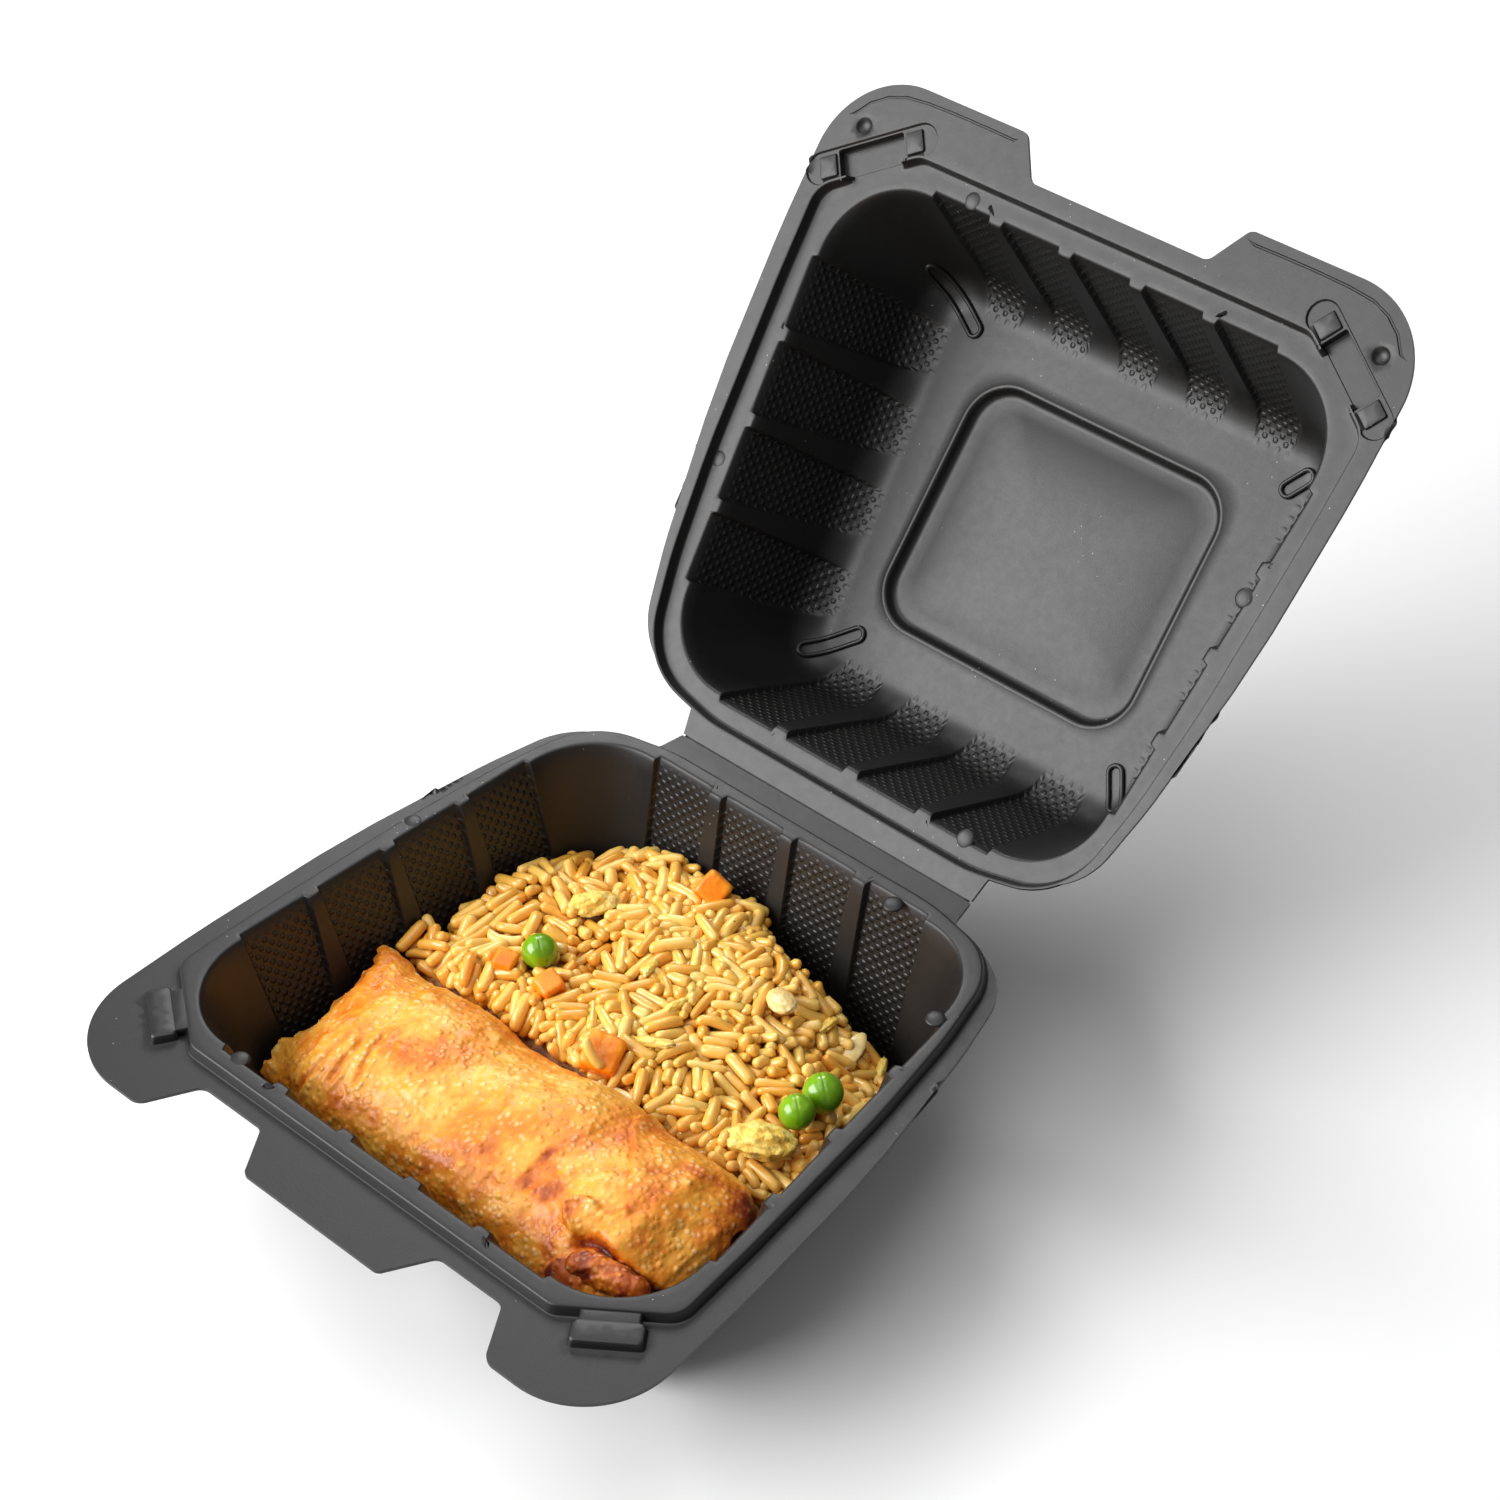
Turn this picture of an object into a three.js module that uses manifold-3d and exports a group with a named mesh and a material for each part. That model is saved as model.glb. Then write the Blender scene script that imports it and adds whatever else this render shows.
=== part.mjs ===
// Takeaway meal container: a black hinged tray and lid, filled with an egg roll and fried rice.
// All sizes are millimetres. The origin is the middle of the face that the tray stands on,
// X runs along the hinge, +Y points to the hinge and +Z up. The lid is modelled shut,
// in the hinge's own axes, and then turned open.
import * as THREE from 'three';
import { mergeVertices } from 'three/addons/utils/BufferGeometryUtils.js';
import Module from 'manifold-3d';

const wasm = await Module();
wasm.setup();

const DEGREE = Math.PI / 180;

// Driving dimensions of the moulded sheet
const SHEET = 0.8;
const FLANGE_TOP = 40.9;
const RIM_HEIGHT = 2.2;
const RIM_TOP = FLANGE_TOP + RIM_HEIGHT;
const FOOT_STEP = 1.2;
const HINGE_Y = 69.4;
const HINGE_CLEARANCE = 0.15;
const HINGE_Z = FLANGE_TOP + HINGE_CLEARANCE;
const LID_OPEN_ANGLE = 133.8;
const LID_LEDGE_DEPTH = 2.5;
const LID_FLOOR_DEPTH = 37.3;
const LID_PANEL_DEPTH = 2.1;
const GROOVE_CLEARANCE = 0.9;
const RIM_SLOPE = 0.6;

// The flanges' right halves, from the front to the hinge: x, y and the round of each corner.
// The tray has a pull tab in the middle of its front, the lid two wide corner tabs
const FLANGE_SIDE = [
  [75.2, -38, 150],
  [72.3, 0, 150],
  [66.2, 35.5, 60],
  [60.8, 56.8, 17],
  [41.6, 62.4, 3],
  [40.2, HINGE_Y - HINGE_CLEARANCE, 0],
];
const TRAY_FLANGE = [
  [18.5, -76.4, 2],
  [24.7, -66.4, 2.5],
  [41.6, -66.4, 3],
  [48.4, -77.8, 3.5],
  [76.4, -77.8, 19.5],
  ...FLANGE_SIDE,
];
const LID_FLANGE = [
  [22.9, -68, 2.5],
  [28.9, -77.1, 2.5],
  [76.2, -77.1, 19.5],
  ...FLANGE_SIDE,
];

// The raised rim's top, right half
const RIM_CORNERS = [
  [50, -62, 4],
  [69.7, -48.1, 5],
  [68.6, -28, 120],
  [65.4, 12, 120],
  [62, 36, 50],
  [56.6, 58.4, 17],
  [36, 62.6, 30],
];

// The basin's opening at the rim, right half
const BASIN_FRONT_CORNER = [67.9, -58.2];
const BASIN_BACK_CORNER = [56.8, 59.2];
const BASIN_FRONT_RADIUS = 20;
const BASIN_BACK_RADIUS = 20;
const BASIN_FLOOR_RADIUS = 5;
const BASIN_FILLET = 9;
const CORNER_SEGMENTS = 4;
const FILLET_ANGLES = [48, 24, 0];
const ARC_STEP = 21;

// Panels stand outward between ribs that widen towards the floor
const RIB_RELIEF_TOP = 1.4;
const RIB_RELIEF_FLOOR = 0.9;
const RIB_EDGE = 0.7;
const FRONT_WALL = { panels: 5, pitch: [18.6, 18.1], rib: [3.6, 10], shift: [0, 0] };
const RIGHT_WALL = { panels: 4, pitch: [19.9, 19.3], rib: [3.2, 9.8], shift: [2.3, -0.4] };
const BACK_WALL = { panels: 4, pitch: [20, 18.7], rib: [3.8, 8.7], shift: [0, 0] };
const LEFT_WALL = { panels: 4, pitch: [19.9, 19.3], rib: [3.2, 9.8], shift: [-2.3, 0.4] };
const WALLS = [FRONT_WALL, RIGHT_WALL, BACK_WALL, LEFT_WALL];

const TRAY_DRAFT = 16;
const LID_DRAFT = 18;
const TRAY_DEPTH = RIM_TOP - FOOT_STEP - SHEET;
const LID_DEPTH = LID_FLOOR_DEPTH - LID_LEDGE_DEPTH;

// The rounded square pressed into the middle of each floor
const PANEL_HALF_X = 33.7;
const PANEL_HALF_Y = 29;
const PANEL_RADIUS = 10;
const PANEL_SLOPE = 2;
const PANEL_CENTRE_Y = 0.4;

// Latch blocks on the tray's front chamfers and the pockets that take them in the lid
const LATCH_CENTRE = [61.9, -59.5];
const LATCH_TURN = 35.2;
const LATCH_LENGTH = 14;
const LATCH_WIDTH = 5.4;
const LATCH_HEIGHT = 2;
const LATCH_NECK_LENGTH = 11.5;
const LATCH_NECK_WIDTH = 6;
const LATCH_NECK_DROP = 0.2;
const POCKET_CLEARANCE = 0.6;

// How far one body is sunk into another before they are joined, and how far a cut runs past a face
const JOIN_DEPTH = 0.2;
const CUT_PAST = 1;
const SKIM = 0.1;

// The gap kept between one piece and the next
const CLEARANCE = 0.35;
const BASIN_FLOOR = FOOT_STEP + SHEET;

// The egg roll lies along the front of the tray. Both ends are pinched over a share of its length
const ROLL_LEFT = -52.4;
const ROLL_RIGHT = 51.4;
const ROLL_CENTRE_Y = -26.6;
const ROLL_HALF_WIDTH = 21.3;
const ROLL_HALF_HEIGHT = 15.2;
const ROLL_CENTRE_Z = BASIN_FLOOR + CLEARANCE + ROLL_HALF_HEIGHT;
const ROLL_RINGS = 24;
const ROLL_RING_SPREAD = 0.55;
const ROLL_SIDES = 22;
const ROLL_SIDE_FULLNESS = 0.8;
const ROLL_TOP_FULLNESS = 0.9;
const ROLL_LEFT_END = { over: 0.16, flattened: 0.62, narrowed: 0.12, shiftY: 1.4, lift: 2.5 };
const ROLL_RIGHT_END = { over: 0.1, flattened: 0.4, narrowed: 0.1, shiftY: 0, lift: 0.8 };
const ROLL_WIDTH_WAVE = 0.5;
const ROLL_HEIGHT_WAVE = 0.3;
const ROLL_WRINKLE = 0.4;
const ROLL_EAR_REACH = 2.6;
const ROLL_EAR_LIFT = 4.5;
const ROLL_EAR_FROM = 0.45;
const ROLL_LAP_AT = 0.77;
const ROLL_LAP_OVER = 0.03;
const ROLL_LAP_STEP = 0.6;

// Where the roll's back shoulder stands out or in, by a share of its length, and which way
const ROLL_SHOULDER = [0.78, 0.62];
const ROLL_BULGES = [
  { at: 0.63, over: 0.1, size: 2 },
  { at: 0.385, over: 0.035, size: -0.7 },
  { at: 0.12, over: 0.05, size: -1.6 },
];

// The rolled corner of the wrapper: radius and place along its own length, and how it lies
const FINGER_PROFILE = [[0, -10], [2.4, -8.8], [3.4, -4], [3.6, 2], [2.7, 7.6], [0, 9.6]];
const FINGER_HALF_LENGTH = 10;
const FINGER_SIDES = 9;
const FINGER_PLACE = { x: 43.2, y: -41.2, z: 26.4, turnX: 3, turnZ: -81 };

// Rice heap: its top, a low crown on it, and where it slopes away, from a place over a distance
const HEAP_SEED = 20;
const HEAP_STATIONS = 34;
const HEAP_RINGS = 6;
const HEAP_MIDDLE = [-2, 21];
const HEAP_TOP = 27.6;
const HEAP_CROWN = { height: 1.6, x: -12, y: 20, spreadX: 22, spreadY: 24 };
const SLOPE_TO_RIGHT = { drop: 4.6, x: [8, 46] };
const SLUMP_BACK_RIGHT = { drop: 11, x: [14, 30], y: [20, 26] };
const SLUMP_BACK_LEFT = { drop: 6, x: [26, 22], y: [26, 20] };
const DIP_BY_ROLL = { drop: 4.5, y: [-9, 9] };
const HEAP_EDGE = { drop: 1.2, from: 0.85 };
const HEAP_LUMPS = 0.5;
const GRAIN_DEPTH = 1.2;
const HEAP_WALL_GAP = 1.6;
const HEAP_RIGHT_GAP = 4.5;
const HEAP_BACK_RIGHT_GAP = 3;
const HEAP_ROLL_OVERLAP = 0.55;
const HEAP_REACH = { from: 8, to: 75, step: 0.25 };
const HEAP_EDGE_Z = 22;
const HEAP_LOW_Z = 9;
const HEAP_FOOT_SHARE = 0.92;

// Grains on the heap
const GRAIN_LENGTH = [6.6, 9.2];
const GRAIN_WIDTH = [2.5, 3.1];
const GRAIN_TILT = 50;
const GRAIN_TILT_DOWN = 0.35;
const GRAIN_SIDES = 5;
const GRAIN_TRIES = 900;
const GRAIN_LIMIT = 176;
const GRAIN_SPACING = 4.5;
const TOPPING_ROOM = 1.2;

const BLACK_PLASTIC = { color: 0x35363a, roughness: 0.5, metalness: 0 };

// Small helpers
const mix = (a, b, t) => a + (b - a) * t;
const clamp01 = (t) => Math.min(1, Math.max(0, t));
const smooth = (t) => clamp01(t) ** 2 * (3 - 2 * clamp01(t));
const shaped = (t, power) => Math.sign(t) * Math.abs(t) ** power;
const ramp = (value, [from, over]) => smooth((value - from) / over);

function seededRandom(seed) {
  let state = seed;
  return () => {
    state = (state * 1664525 + 1013904223) % 4294967296;
    return state / 4294967296;
  };
}

// Closed outline of a shape that is the same left and right
function mirrored(half) {
  const right = half.map(([x, y, radius]) => ({ x, y, radius }));
  const left = right.map(({ x, y, radius }) => ({ x: -x, y, radius })).reverse();
  return [...right, ...left];
}

// The same outline with every side moved outward by a distance
function grown(corners, distance) {
  const count = corners.length;
  const side = (index) => {
    const a = corners[index % count];
    const b = corners[(index + 1) % count];
    const along = new THREE.Vector2(b.x - a.x, b.y - a.y).normalize();
    const normal = new THREE.Vector2(along.y, -along.x);
    return { point: new THREE.Vector2(a.x, a.y).addScaledVector(normal, distance), along };
  };
  return corners.map((corner, index) => {
    const before = side(index + count - 1);
    const after = side(index);
    const turn = before.along.cross(after.along);
    const gap = after.point.clone().sub(before.point);
    const reach = gap.cross(after.along) / turn;
    const place = before.point.clone().addScaledVector(before.along, reach);
    const radius = Math.max(0, corner.radius + Math.sign(turn) * distance);
    return { x: place.x, y: place.y, radius };
  });
}

// Points along an outline whose corners are rounded by arcs
function rounded(corners) {
  const points = [];
  const count = corners.length;
  corners.forEach((corner, index) => {
    const here = new THREE.Vector2(corner.x, corner.y);
    const last = corners[(index + count - 1) % count];
    const next = corners[(index + 1) % count];
    const back = new THREE.Vector2(last.x, last.y).sub(here).normalize();
    const ahead = new THREE.Vector2(next.x, next.y).sub(here).normalize();
    const turn = Math.PI - Math.acos(clamp01((back.dot(ahead) + 1) / 2) * 2 - 1);
    if (corner.radius === 0) {
      points.push(here);
      return;
    }
    const reach = corner.radius * Math.tan(turn / 2);
    const toCentre = back.clone().add(ahead).normalize();
    const centre = here.clone().addScaledVector(toCentre, corner.radius / Math.cos(turn / 2));
    const start = here.clone().addScaledVector(back, reach).sub(centre);
    const sign = Math.sign(ahead.cross(back)) || 1;
    const segments = Math.max(1, Math.round(turn / (ARC_STEP * DEGREE)));
    for (let step = 0; step <= segments; step += 1) {
      const arm = start.clone().rotateAround(new THREE.Vector2(), (sign * turn * step) / segments);
      points.push(centre.clone().add(arm));
    }
  });
  return points;
}

const atHeight = (points, z) => points.map((point) => new THREE.Vector3(point.x, point.y, z));

// A closed skin through rings of equally many points, with a flat cap at each end
function loft(rings) {
  const count = rings[0].length;
  const geometry = new THREE.BufferGeometry().setFromPoints(rings.flat());
  const indices = [];
  for (let ring = 0; ring + 1 < rings.length; ring += 1) {
    for (let station = 0; station < count; station += 1) {
      const next = (station + 1) % count;
      const a = ring * count + station;
      const b = ring * count + next;
      indices.push(a, b, b + count, a, b + count, a + count);
    }
  }
  const capOf = (ring) => {
    const flat = rings[ring].map((point) => new THREE.Vector2(point.x, point.y));
    return THREE.ShapeUtils.triangulateShape(flat, []);
  };
  const top = (rings.length - 1) * count;
  capOf(0).forEach(([a, b, c]) => indices.push(a, c, b));
  capOf(rings.length - 1).forEach(([a, b, c]) => indices.push(top + a, top + b, top + c));
  geometry.setIndex(indices);
  return geometry;
}

// Solid for joining and cutting, and back again
function solid(geometry) {
  const bare = geometry.clone();
  bare.deleteAttribute('normal');
  bare.deleteAttribute('uv');
  const merged = mergeVertices(bare, 1e-4);
  return new wasm.Manifold(new wasm.Mesh({
    numProp: 3,
    vertProperties: new Float32Array(merged.attributes.position.array),
    triVerts: new Uint32Array(merged.index.array),
  }));
}

// The largest body of a solid, with loose scraps dropped
function geometryOf(shape) {
  const bodies = shape.decompose().sort((a, b) => b.volume() - a.volume());
  const { vertProperties, triVerts } = bodies[0].getMesh();
  const geometry = new THREE.BufferGeometry();
  geometry.setAttribute('position', new THREE.BufferAttribute(new Float32Array(vertProperties), 3));
  geometry.setIndex(Array.from(triVerts));
  geometry.computeVertexNormals();
  return geometry;
}

const joined = (shapes) => shapes.reduce((whole, shape) => whole.add(shape));

function placed(geometry, { x = 0, y = 0, z = 0, turnX = 0, turnY = 0, turnZ = 0 }) {
  const turn = new THREE.Euler(turnX * DEGREE, turnY * DEGREE, turnZ * DEGREE, 'ZYX');
  const matrix = new THREE.Matrix4().makeRotationFromEuler(turn).setPosition(x, y, z);
  return geometry.clone().applyMatrix4(matrix);
}

function named(name, geometry, finish) {
  const mesh = new THREE.Mesh(geometry, new THREE.MeshStandardMaterial(finish));
  mesh.name = name;
  return mesh;
}

// How far the wall has come inward at a depth under the basin's opening
function wallAt(depth, floorDepth, draft) {
  const lean = draft * DEGREE;
  const straight = floorDepth - BASIN_FILLET * (1 - Math.sin(lean));
  const full = straight * Math.tan(lean) + BASIN_FILLET * Math.cos(lean);
  if (depth <= straight) return { inset: Math.max(0, depth) * Math.tan(lean), full };
  const rise = clamp01((BASIN_FILLET - (floorDepth - depth)) / BASIN_FILLET);
  return { inset: full - BASIN_FILLET * Math.sqrt(1 - rise * rise), full };
}

const BASIN_CORNERS = [
  { x: -BASIN_FRONT_CORNER[0], y: BASIN_FRONT_CORNER[1], radius: BASIN_FRONT_RADIUS },
  { x: BASIN_FRONT_CORNER[0], y: BASIN_FRONT_CORNER[1], radius: BASIN_FRONT_RADIUS },
  { x: BASIN_BACK_CORNER[0], y: BASIN_BACK_CORNER[1], radius: BASIN_BACK_RADIUS },
  { x: -BASIN_BACK_CORNER[0], y: BASIN_BACK_CORNER[1], radius: BASIN_BACK_RADIUS },
];

// Places along one wall where its surface steps between panel and rib
function wallStations(wall, share) {
  const pitch = mix(wall.pitch[0], wall.pitch[1], share);
  const rib = mix(wall.rib[0], wall.rib[1], share);
  const shift = mix(wall.shift[0], wall.shift[1], share);
  const half = (pitch - rib) / 2;
  const stations = [];
  for (let panel = 0; panel < wall.panels; panel += 1) {
    const middle = (panel - (wall.panels - 1) / 2) * pitch + shift;
    stations.push({ along: middle - half - RIB_EDGE / 2, rib: 1 });
    stations.push({ along: middle - half + RIB_EDGE / 2, rib: 0 });
    stations.push({ along: middle + half - RIB_EDGE / 2, rib: 0 });
    stations.push({ along: middle + half + RIB_EDGE / 2, rib: 1 });
  }
  return stations;
}

// One level ring of the basin's wall, at an inset from the opening
function basinRing(inset, full, z, outward) {
  const share = clamp01(inset / full);
  const relief = mix(RIB_RELIEF_TOP, RIB_RELIEF_FLOOR, share);
  const corners = grown(BASIN_CORNERS, outward - inset);
  const ring = [];
  WALLS.forEach((wall, index) => {
    const a = new THREE.Vector2(corners[index].x, corners[index].y);
    const b = new THREE.Vector2(corners[(index + 1) % 4].x, corners[(index + 1) % 4].y);
    const c = new THREE.Vector2(corners[(index + 2) % 4].x, corners[(index + 2) % 4].y);
    const along = b.clone().sub(a).normalize();
    const onward = c.clone().sub(b).normalize();
    const middle = a.clone().add(b).multiplyScalar(0.5);
    const inward = new THREE.Vector2(-along.y, along.x);
    wallStations(wall, share).forEach((station) => {
      const point = middle.clone().addScaledVector(along, station.along);
      ring.push(point.addScaledVector(inward, station.rib * relief));
    });
    const turn = Math.acos(along.dot(onward));
    const base = BASIN_CORNERS[(index + 1) % 4].radius;
    const radius = mix(base, BASIN_FLOOR_RADIUS, share) + outward;
    const start = b.clone().addScaledVector(along, -radius * Math.tan(turn / 2));
    const centre = start.addScaledVector(inward, radius);
    for (let step = 0; step <= CORNER_SEGMENTS; step += 1) {
      const arm = inward.clone().multiplyScalar(relief - radius);
      arm.rotateAround(new THREE.Vector2(), (turn * step) / CORNER_SEGMENTS);
      ring.push(centre.clone().add(arm));
    }
  });
  return atHeight(ring, z);
}

// Basin with its opening at the top: the hollow, or with a wall the body round it.
// Its reach is how far it goes past the opening
function basinBody({ floorDepth, draft, openingZ, wall, reach }) {
  const lean = draft * DEGREE;
  const { full } = wallAt(0, floorDepth, draft);
  const straight = floorDepth - BASIN_FILLET * (1 - Math.sin(lean));
  const rings = FILLET_ANGLES.map((angle) => {
    const inset = full - BASIN_FILLET * Math.sin(angle * DEGREE);
    const depth = floorDepth - BASIN_FILLET * (1 - Math.cos(angle * DEGREE));
    const drop = wall * Math.cos(angle * DEGREE);
    return basinRing(inset, full, openingZ - depth - drop, wall * Math.sin(angle * DEGREE));
  }).reverse();
  const wallInset = wallAt(straight, floorDepth, draft).inset;
  const wallDrop = wall * Math.sin(lean);
  const wallOut = wall * Math.cos(lean);
  rings.push(basinRing(wallInset, full, openingZ - straight - wallDrop, wallOut));
  rings.push(basinRing(0, full, openingZ + Math.min(0, reach), wallOut));
  if (reach > 0) rings.push(basinRing(0, full, openingZ + reach, wallOut));
  return solid(loft(rings));
}

// The step between a floor and the rounded square in its middle
function floorPanel(fromZ, toZ, spread) {
  const square = mirrored([
    [PANEL_HALF_X, PANEL_CENTRE_Y - PANEL_HALF_Y, PANEL_RADIUS],
    [PANEL_HALF_X, PANEL_CENTRE_Y + PANEL_HALF_Y, PANEL_RADIUS],
  ]);
  const wide = grown(square, spread);
  const narrow = grown(square, spread - PANEL_SLOPE);
  return solid(loft([atHeight(rounded(narrow), toZ), atHeight(rounded(wide), fromZ)]));
}

function plate(corners, fromZ, thickness) {
  const shape = new THREE.Shape(rounded(corners));
  const geometry = new THREE.ExtrudeGeometry(shape, { depth: thickness, bevelEnabled: false });
  return solid(placed(geometry, { z: fromZ }));
}

function rimStep(corners, fromZ, toZ, spread, narrowing) {
  const low = rounded(grown(corners, spread));
  const high = rounded(grown(corners, spread - narrowing));
  return solid(loft([atHeight(low, fromZ), atHeight(high, toZ)]));
}

function latchBox(side, length, width, height, centreZ, offset = 0) {
  const turn = LATCH_TURN * DEGREE;
  const x = side * (LATCH_CENTRE[0] - offset * Math.sin(turn));
  const y = LATCH_CENTRE[1] + offset * Math.cos(turn);
  const box = new THREE.BoxGeometry(length, width, height);
  return solid(placed(box, { x, y, z: centreZ, turnZ: side * LATCH_TURN }));
}

const rim = mirrored(RIM_CORNERS);

// Tray: flange, raised rim that is hollow underneath, latch blocks and basin
function makeTray() {
  const bottom = FLANGE_TOP - SHEET;
  const blockHeight = LATCH_HEIGHT + SHEET;
  const neckHeight = blockHeight - LATCH_NECK_DROP;
  const blocks = [-1, 1].flatMap((side) => [
    latchBox(side, LATCH_LENGTH, LATCH_WIDTH, blockHeight, bottom + blockHeight / 2),
    latchBox(side, LATCH_NECK_LENGTH, LATCH_NECK_WIDTH, neckHeight, bottom + neckHeight / 2, LATCH_WIDTH / 2),
  ]);
  const top = joined([
    plate(mirrored(TRAY_FLANGE), bottom, SHEET),
    rimStep(rim, bottom, RIM_TOP, RIM_SLOPE, RIM_SLOPE),
    ...blocks,
  ]);
  const under = rimStep(rim, bottom - CUT_PAST, RIM_TOP - SHEET, RIM_SLOPE - SHEET, RIM_SLOPE);
  const basin = { floorDepth: TRAY_DEPTH, draft: TRAY_DRAFT, openingZ: RIM_TOP };
  const outside = basinBody({ ...basin, wall: SHEET, reach: -JOIN_DEPTH });
  const inside = basinBody({ ...basin, wall: 0, reach: CUT_PAST });
  const foot = floorPanel(FOOT_STEP + SHEET / 2, 0, SHEET);
  const well = floorPanel(BASIN_FLOOR + SKIM, SHEET, SKIM);
  const body = joined([top.subtract(under), outside, foot]);
  return geometryOf(body.subtract(inside).subtract(well));
}

// Lid, shut, in the hinge's axes: its flange lies just over the tray's and its basin opens down
function makeLid() {
  const low = HINGE_CLEARANCE;
  const shiftBack = (corners) => corners.map(({ x, y, radius }) => ({ x, y: y - HINGE_Y, radius }));
  const lidFlange = shiftBack(mirrored(LID_FLANGE));
  const lidRim = shiftBack(rim);
  const ledge = low + LID_LEDGE_DEPTH;
  const pocketHeight = LATCH_HEIGHT + POCKET_CLEARANCE;
  const pocketAt = (side, grow, height) => {
    const length = LATCH_LENGTH + 2 * POCKET_CLEARANCE + 2 * grow;
    const width = LATCH_WIDTH + 2 * POCKET_CLEARANCE + 2 * grow;
    return latchBox(side, length, width, height, low + height / 2).translate(0, -HINGE_Y, 0);
  };
  const neckAt = (side, height) => {
    const length = LATCH_NECK_LENGTH + 2 * POCKET_CLEARANCE;
    const width = LATCH_NECK_WIDTH + 2 * POCKET_CLEARANCE;
    return latchBox(side, length, width, height, low + height / 2, LATCH_WIDTH / 2).translate(0, -HINGE_Y, 0);
  };
  const skin = joined([
    plate(lidFlange, low, SHEET),
    rimStep(lidRim, low, ledge + SHEET, GROOVE_CLEARANCE + RIM_SLOPE + SHEET, RIM_SLOPE),
    ...[-1, 1].map((side) => pocketAt(side, SHEET, pocketHeight + SHEET)),
  ]);
  const groove = rimStep(lidRim, low - CUT_PAST, ledge, GROOVE_CLEARANCE + RIM_SLOPE, RIM_SLOPE);
  const basin = { floorDepth: LID_DEPTH, draft: LID_DRAFT, openingZ: 0 };
  const flip = (shape) => shape.mirror([0, 0, 1]).translate(0, -HINGE_Y, ledge);
  const outside = flip(basinBody({ ...basin, wall: SHEET, reach: -JOIN_DEPTH }));
  const inside = flip(basinBody({ ...basin, wall: 0, reach: CUT_PAST }));
  const deep = LID_DEPTH + LID_PANEL_DEPTH;
  const bump = flip(floorPanel(-LID_DEPTH - SHEET / 2, -deep - SHEET, SHEET));
  const dish = flip(floorPanel(-LID_DEPTH + SKIM, -deep, SKIM));
  const pockets = [-1, 1].flatMap((side) => [
    pocketAt(side, 0, pocketHeight * 2).translate(0, 0, -pocketHeight),
    neckAt(side, pocketHeight * 2).translate(0, 0, -pocketHeight),
  ]);
  const body = joined([skin.subtract(groove), outside, bump]);
  return geometryOf(body.subtract(inside).subtract(dish).subtract(joined(pockets)));
}

// Egg roll: a fried wrapper with a flat pinched left end whose far corner stands up,
// a lapped seam near its right and a rolled corner at its front right
function rollSection(share, extra) {
  const left = 1 - smooth(share / ROLL_LEFT_END.over);
  const right = 1 - smooth((1 - share) / ROLL_RIGHT_END.over);
  const atEnds = (name) => ROLL_LEFT_END[name] * left + ROLL_RIGHT_END[name] * right;
  const widthWave = ROLL_WIDTH_WAVE * Math.sin(share * 9);
  const heightWave = ROLL_HEIGHT_WAVE * Math.sin(share * 23 + 1);
  const halfWidth = ROLL_HALF_WIDTH * (1 - atEnds('narrowed')) + widthWave;
  const halfHeight = ROLL_HALF_HEIGHT * (1 - atEnds('flattened')) + heightWave;
  const lap = ROLL_LAP_STEP * ramp(share, [ROLL_LAP_AT, ROLL_LAP_OVER]);
  const bulges = ROLL_BULGES.map(({ at, over, size }) => size * Math.exp(-(((share - at) / over) ** 2)));
  const bulge = bulges.reduce((sum, one) => sum + one);
  const atEnd = share === 0 || share === 1 ? extra : 0;
  const points = [];
  for (let side = 0; side < ROLL_SIDES; side += 1) {
    const angle = (side / ROLL_SIDES) * 2 * Math.PI;
    const across = shaped(Math.cos(angle), ROLL_SIDE_FULLNESS);
    const up = shaped(Math.sin(angle), ROLL_TOP_FULLNESS);
    const top = Math.max(0, up);
    const wrinkle = ROLL_WRINKLE * top * Math.sin(share * 31 + side * 1.3);
    const ear = ROLL_EAR_REACH * ramp(across, [ROLL_EAR_FROM, 1 - ROLL_EAR_FROM]);
    const x = mix(ROLL_LEFT - atEnd - ear * left, ROLL_RIGHT + atEnd, share);
    const facing = Math.max(0, across * ROLL_SHOULDER[0] + up * ROLL_SHOULDER[1]);
    const shoulder = ROLL_SHOULDER.map((part) => part * bulge * facing);
    const y = ROLL_CENTRE_Y + atEnds('shiftY') + across * (halfWidth + extra) + shoulder[0];
    const lift = up * (halfHeight + extra) + wrinkle + (lap - ROLL_LAP_STEP) * top + shoulder[1];
    const twist = atEnds('lift') + ROLL_EAR_LIFT * left * across;
    points.push(new THREE.Vector3(x, y, ROLL_CENTRE_Z + lift + twist));
  }
  return points;
}

function makeRollBody(extra) {
  const rings = [];
  for (let ring = 0; ring < ROLL_RINGS; ring += 1) {
    const even = ring / (ROLL_RINGS - 1);
    rings.push(rollSection(mix(even, (1 - Math.cos(Math.PI * even)) / 2, ROLL_RING_SPREAD), extra));
  }
  // The loft's caps are flat in x and y, so the roll is lofted upright and laid down
  const upright = rings.map((ring) => ring.map((point) => new THREE.Vector3(point.y, point.z, point.x)));
  const geometry = loft(upright);
  const laid = new THREE.Matrix4().set(0, 0, 1, 0, 1, 0, 0, 0, 0, 1, 0, 0, 0, 0, 0, 1);
  return geometry.applyMatrix4(laid);
}

// Rolled corner of the wrapper, a short thick finger along the roll's front right shoulder
function rolledCorner(extra) {
  const longer = 1 + extra / FINGER_HALF_LENGTH;
  const points = FINGER_PROFILE.map(([r, along]) => new THREE.Vector2(r && r + extra, along * longer));
  return solid(placed(new THREE.LatheGeometry(points, FINGER_SIDES), FINGER_PLACE));
}

function makeEggRoll() {
  return geometryOf(solid(makeRollBody(0)).add(rolledCorner(0)));
}

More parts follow.
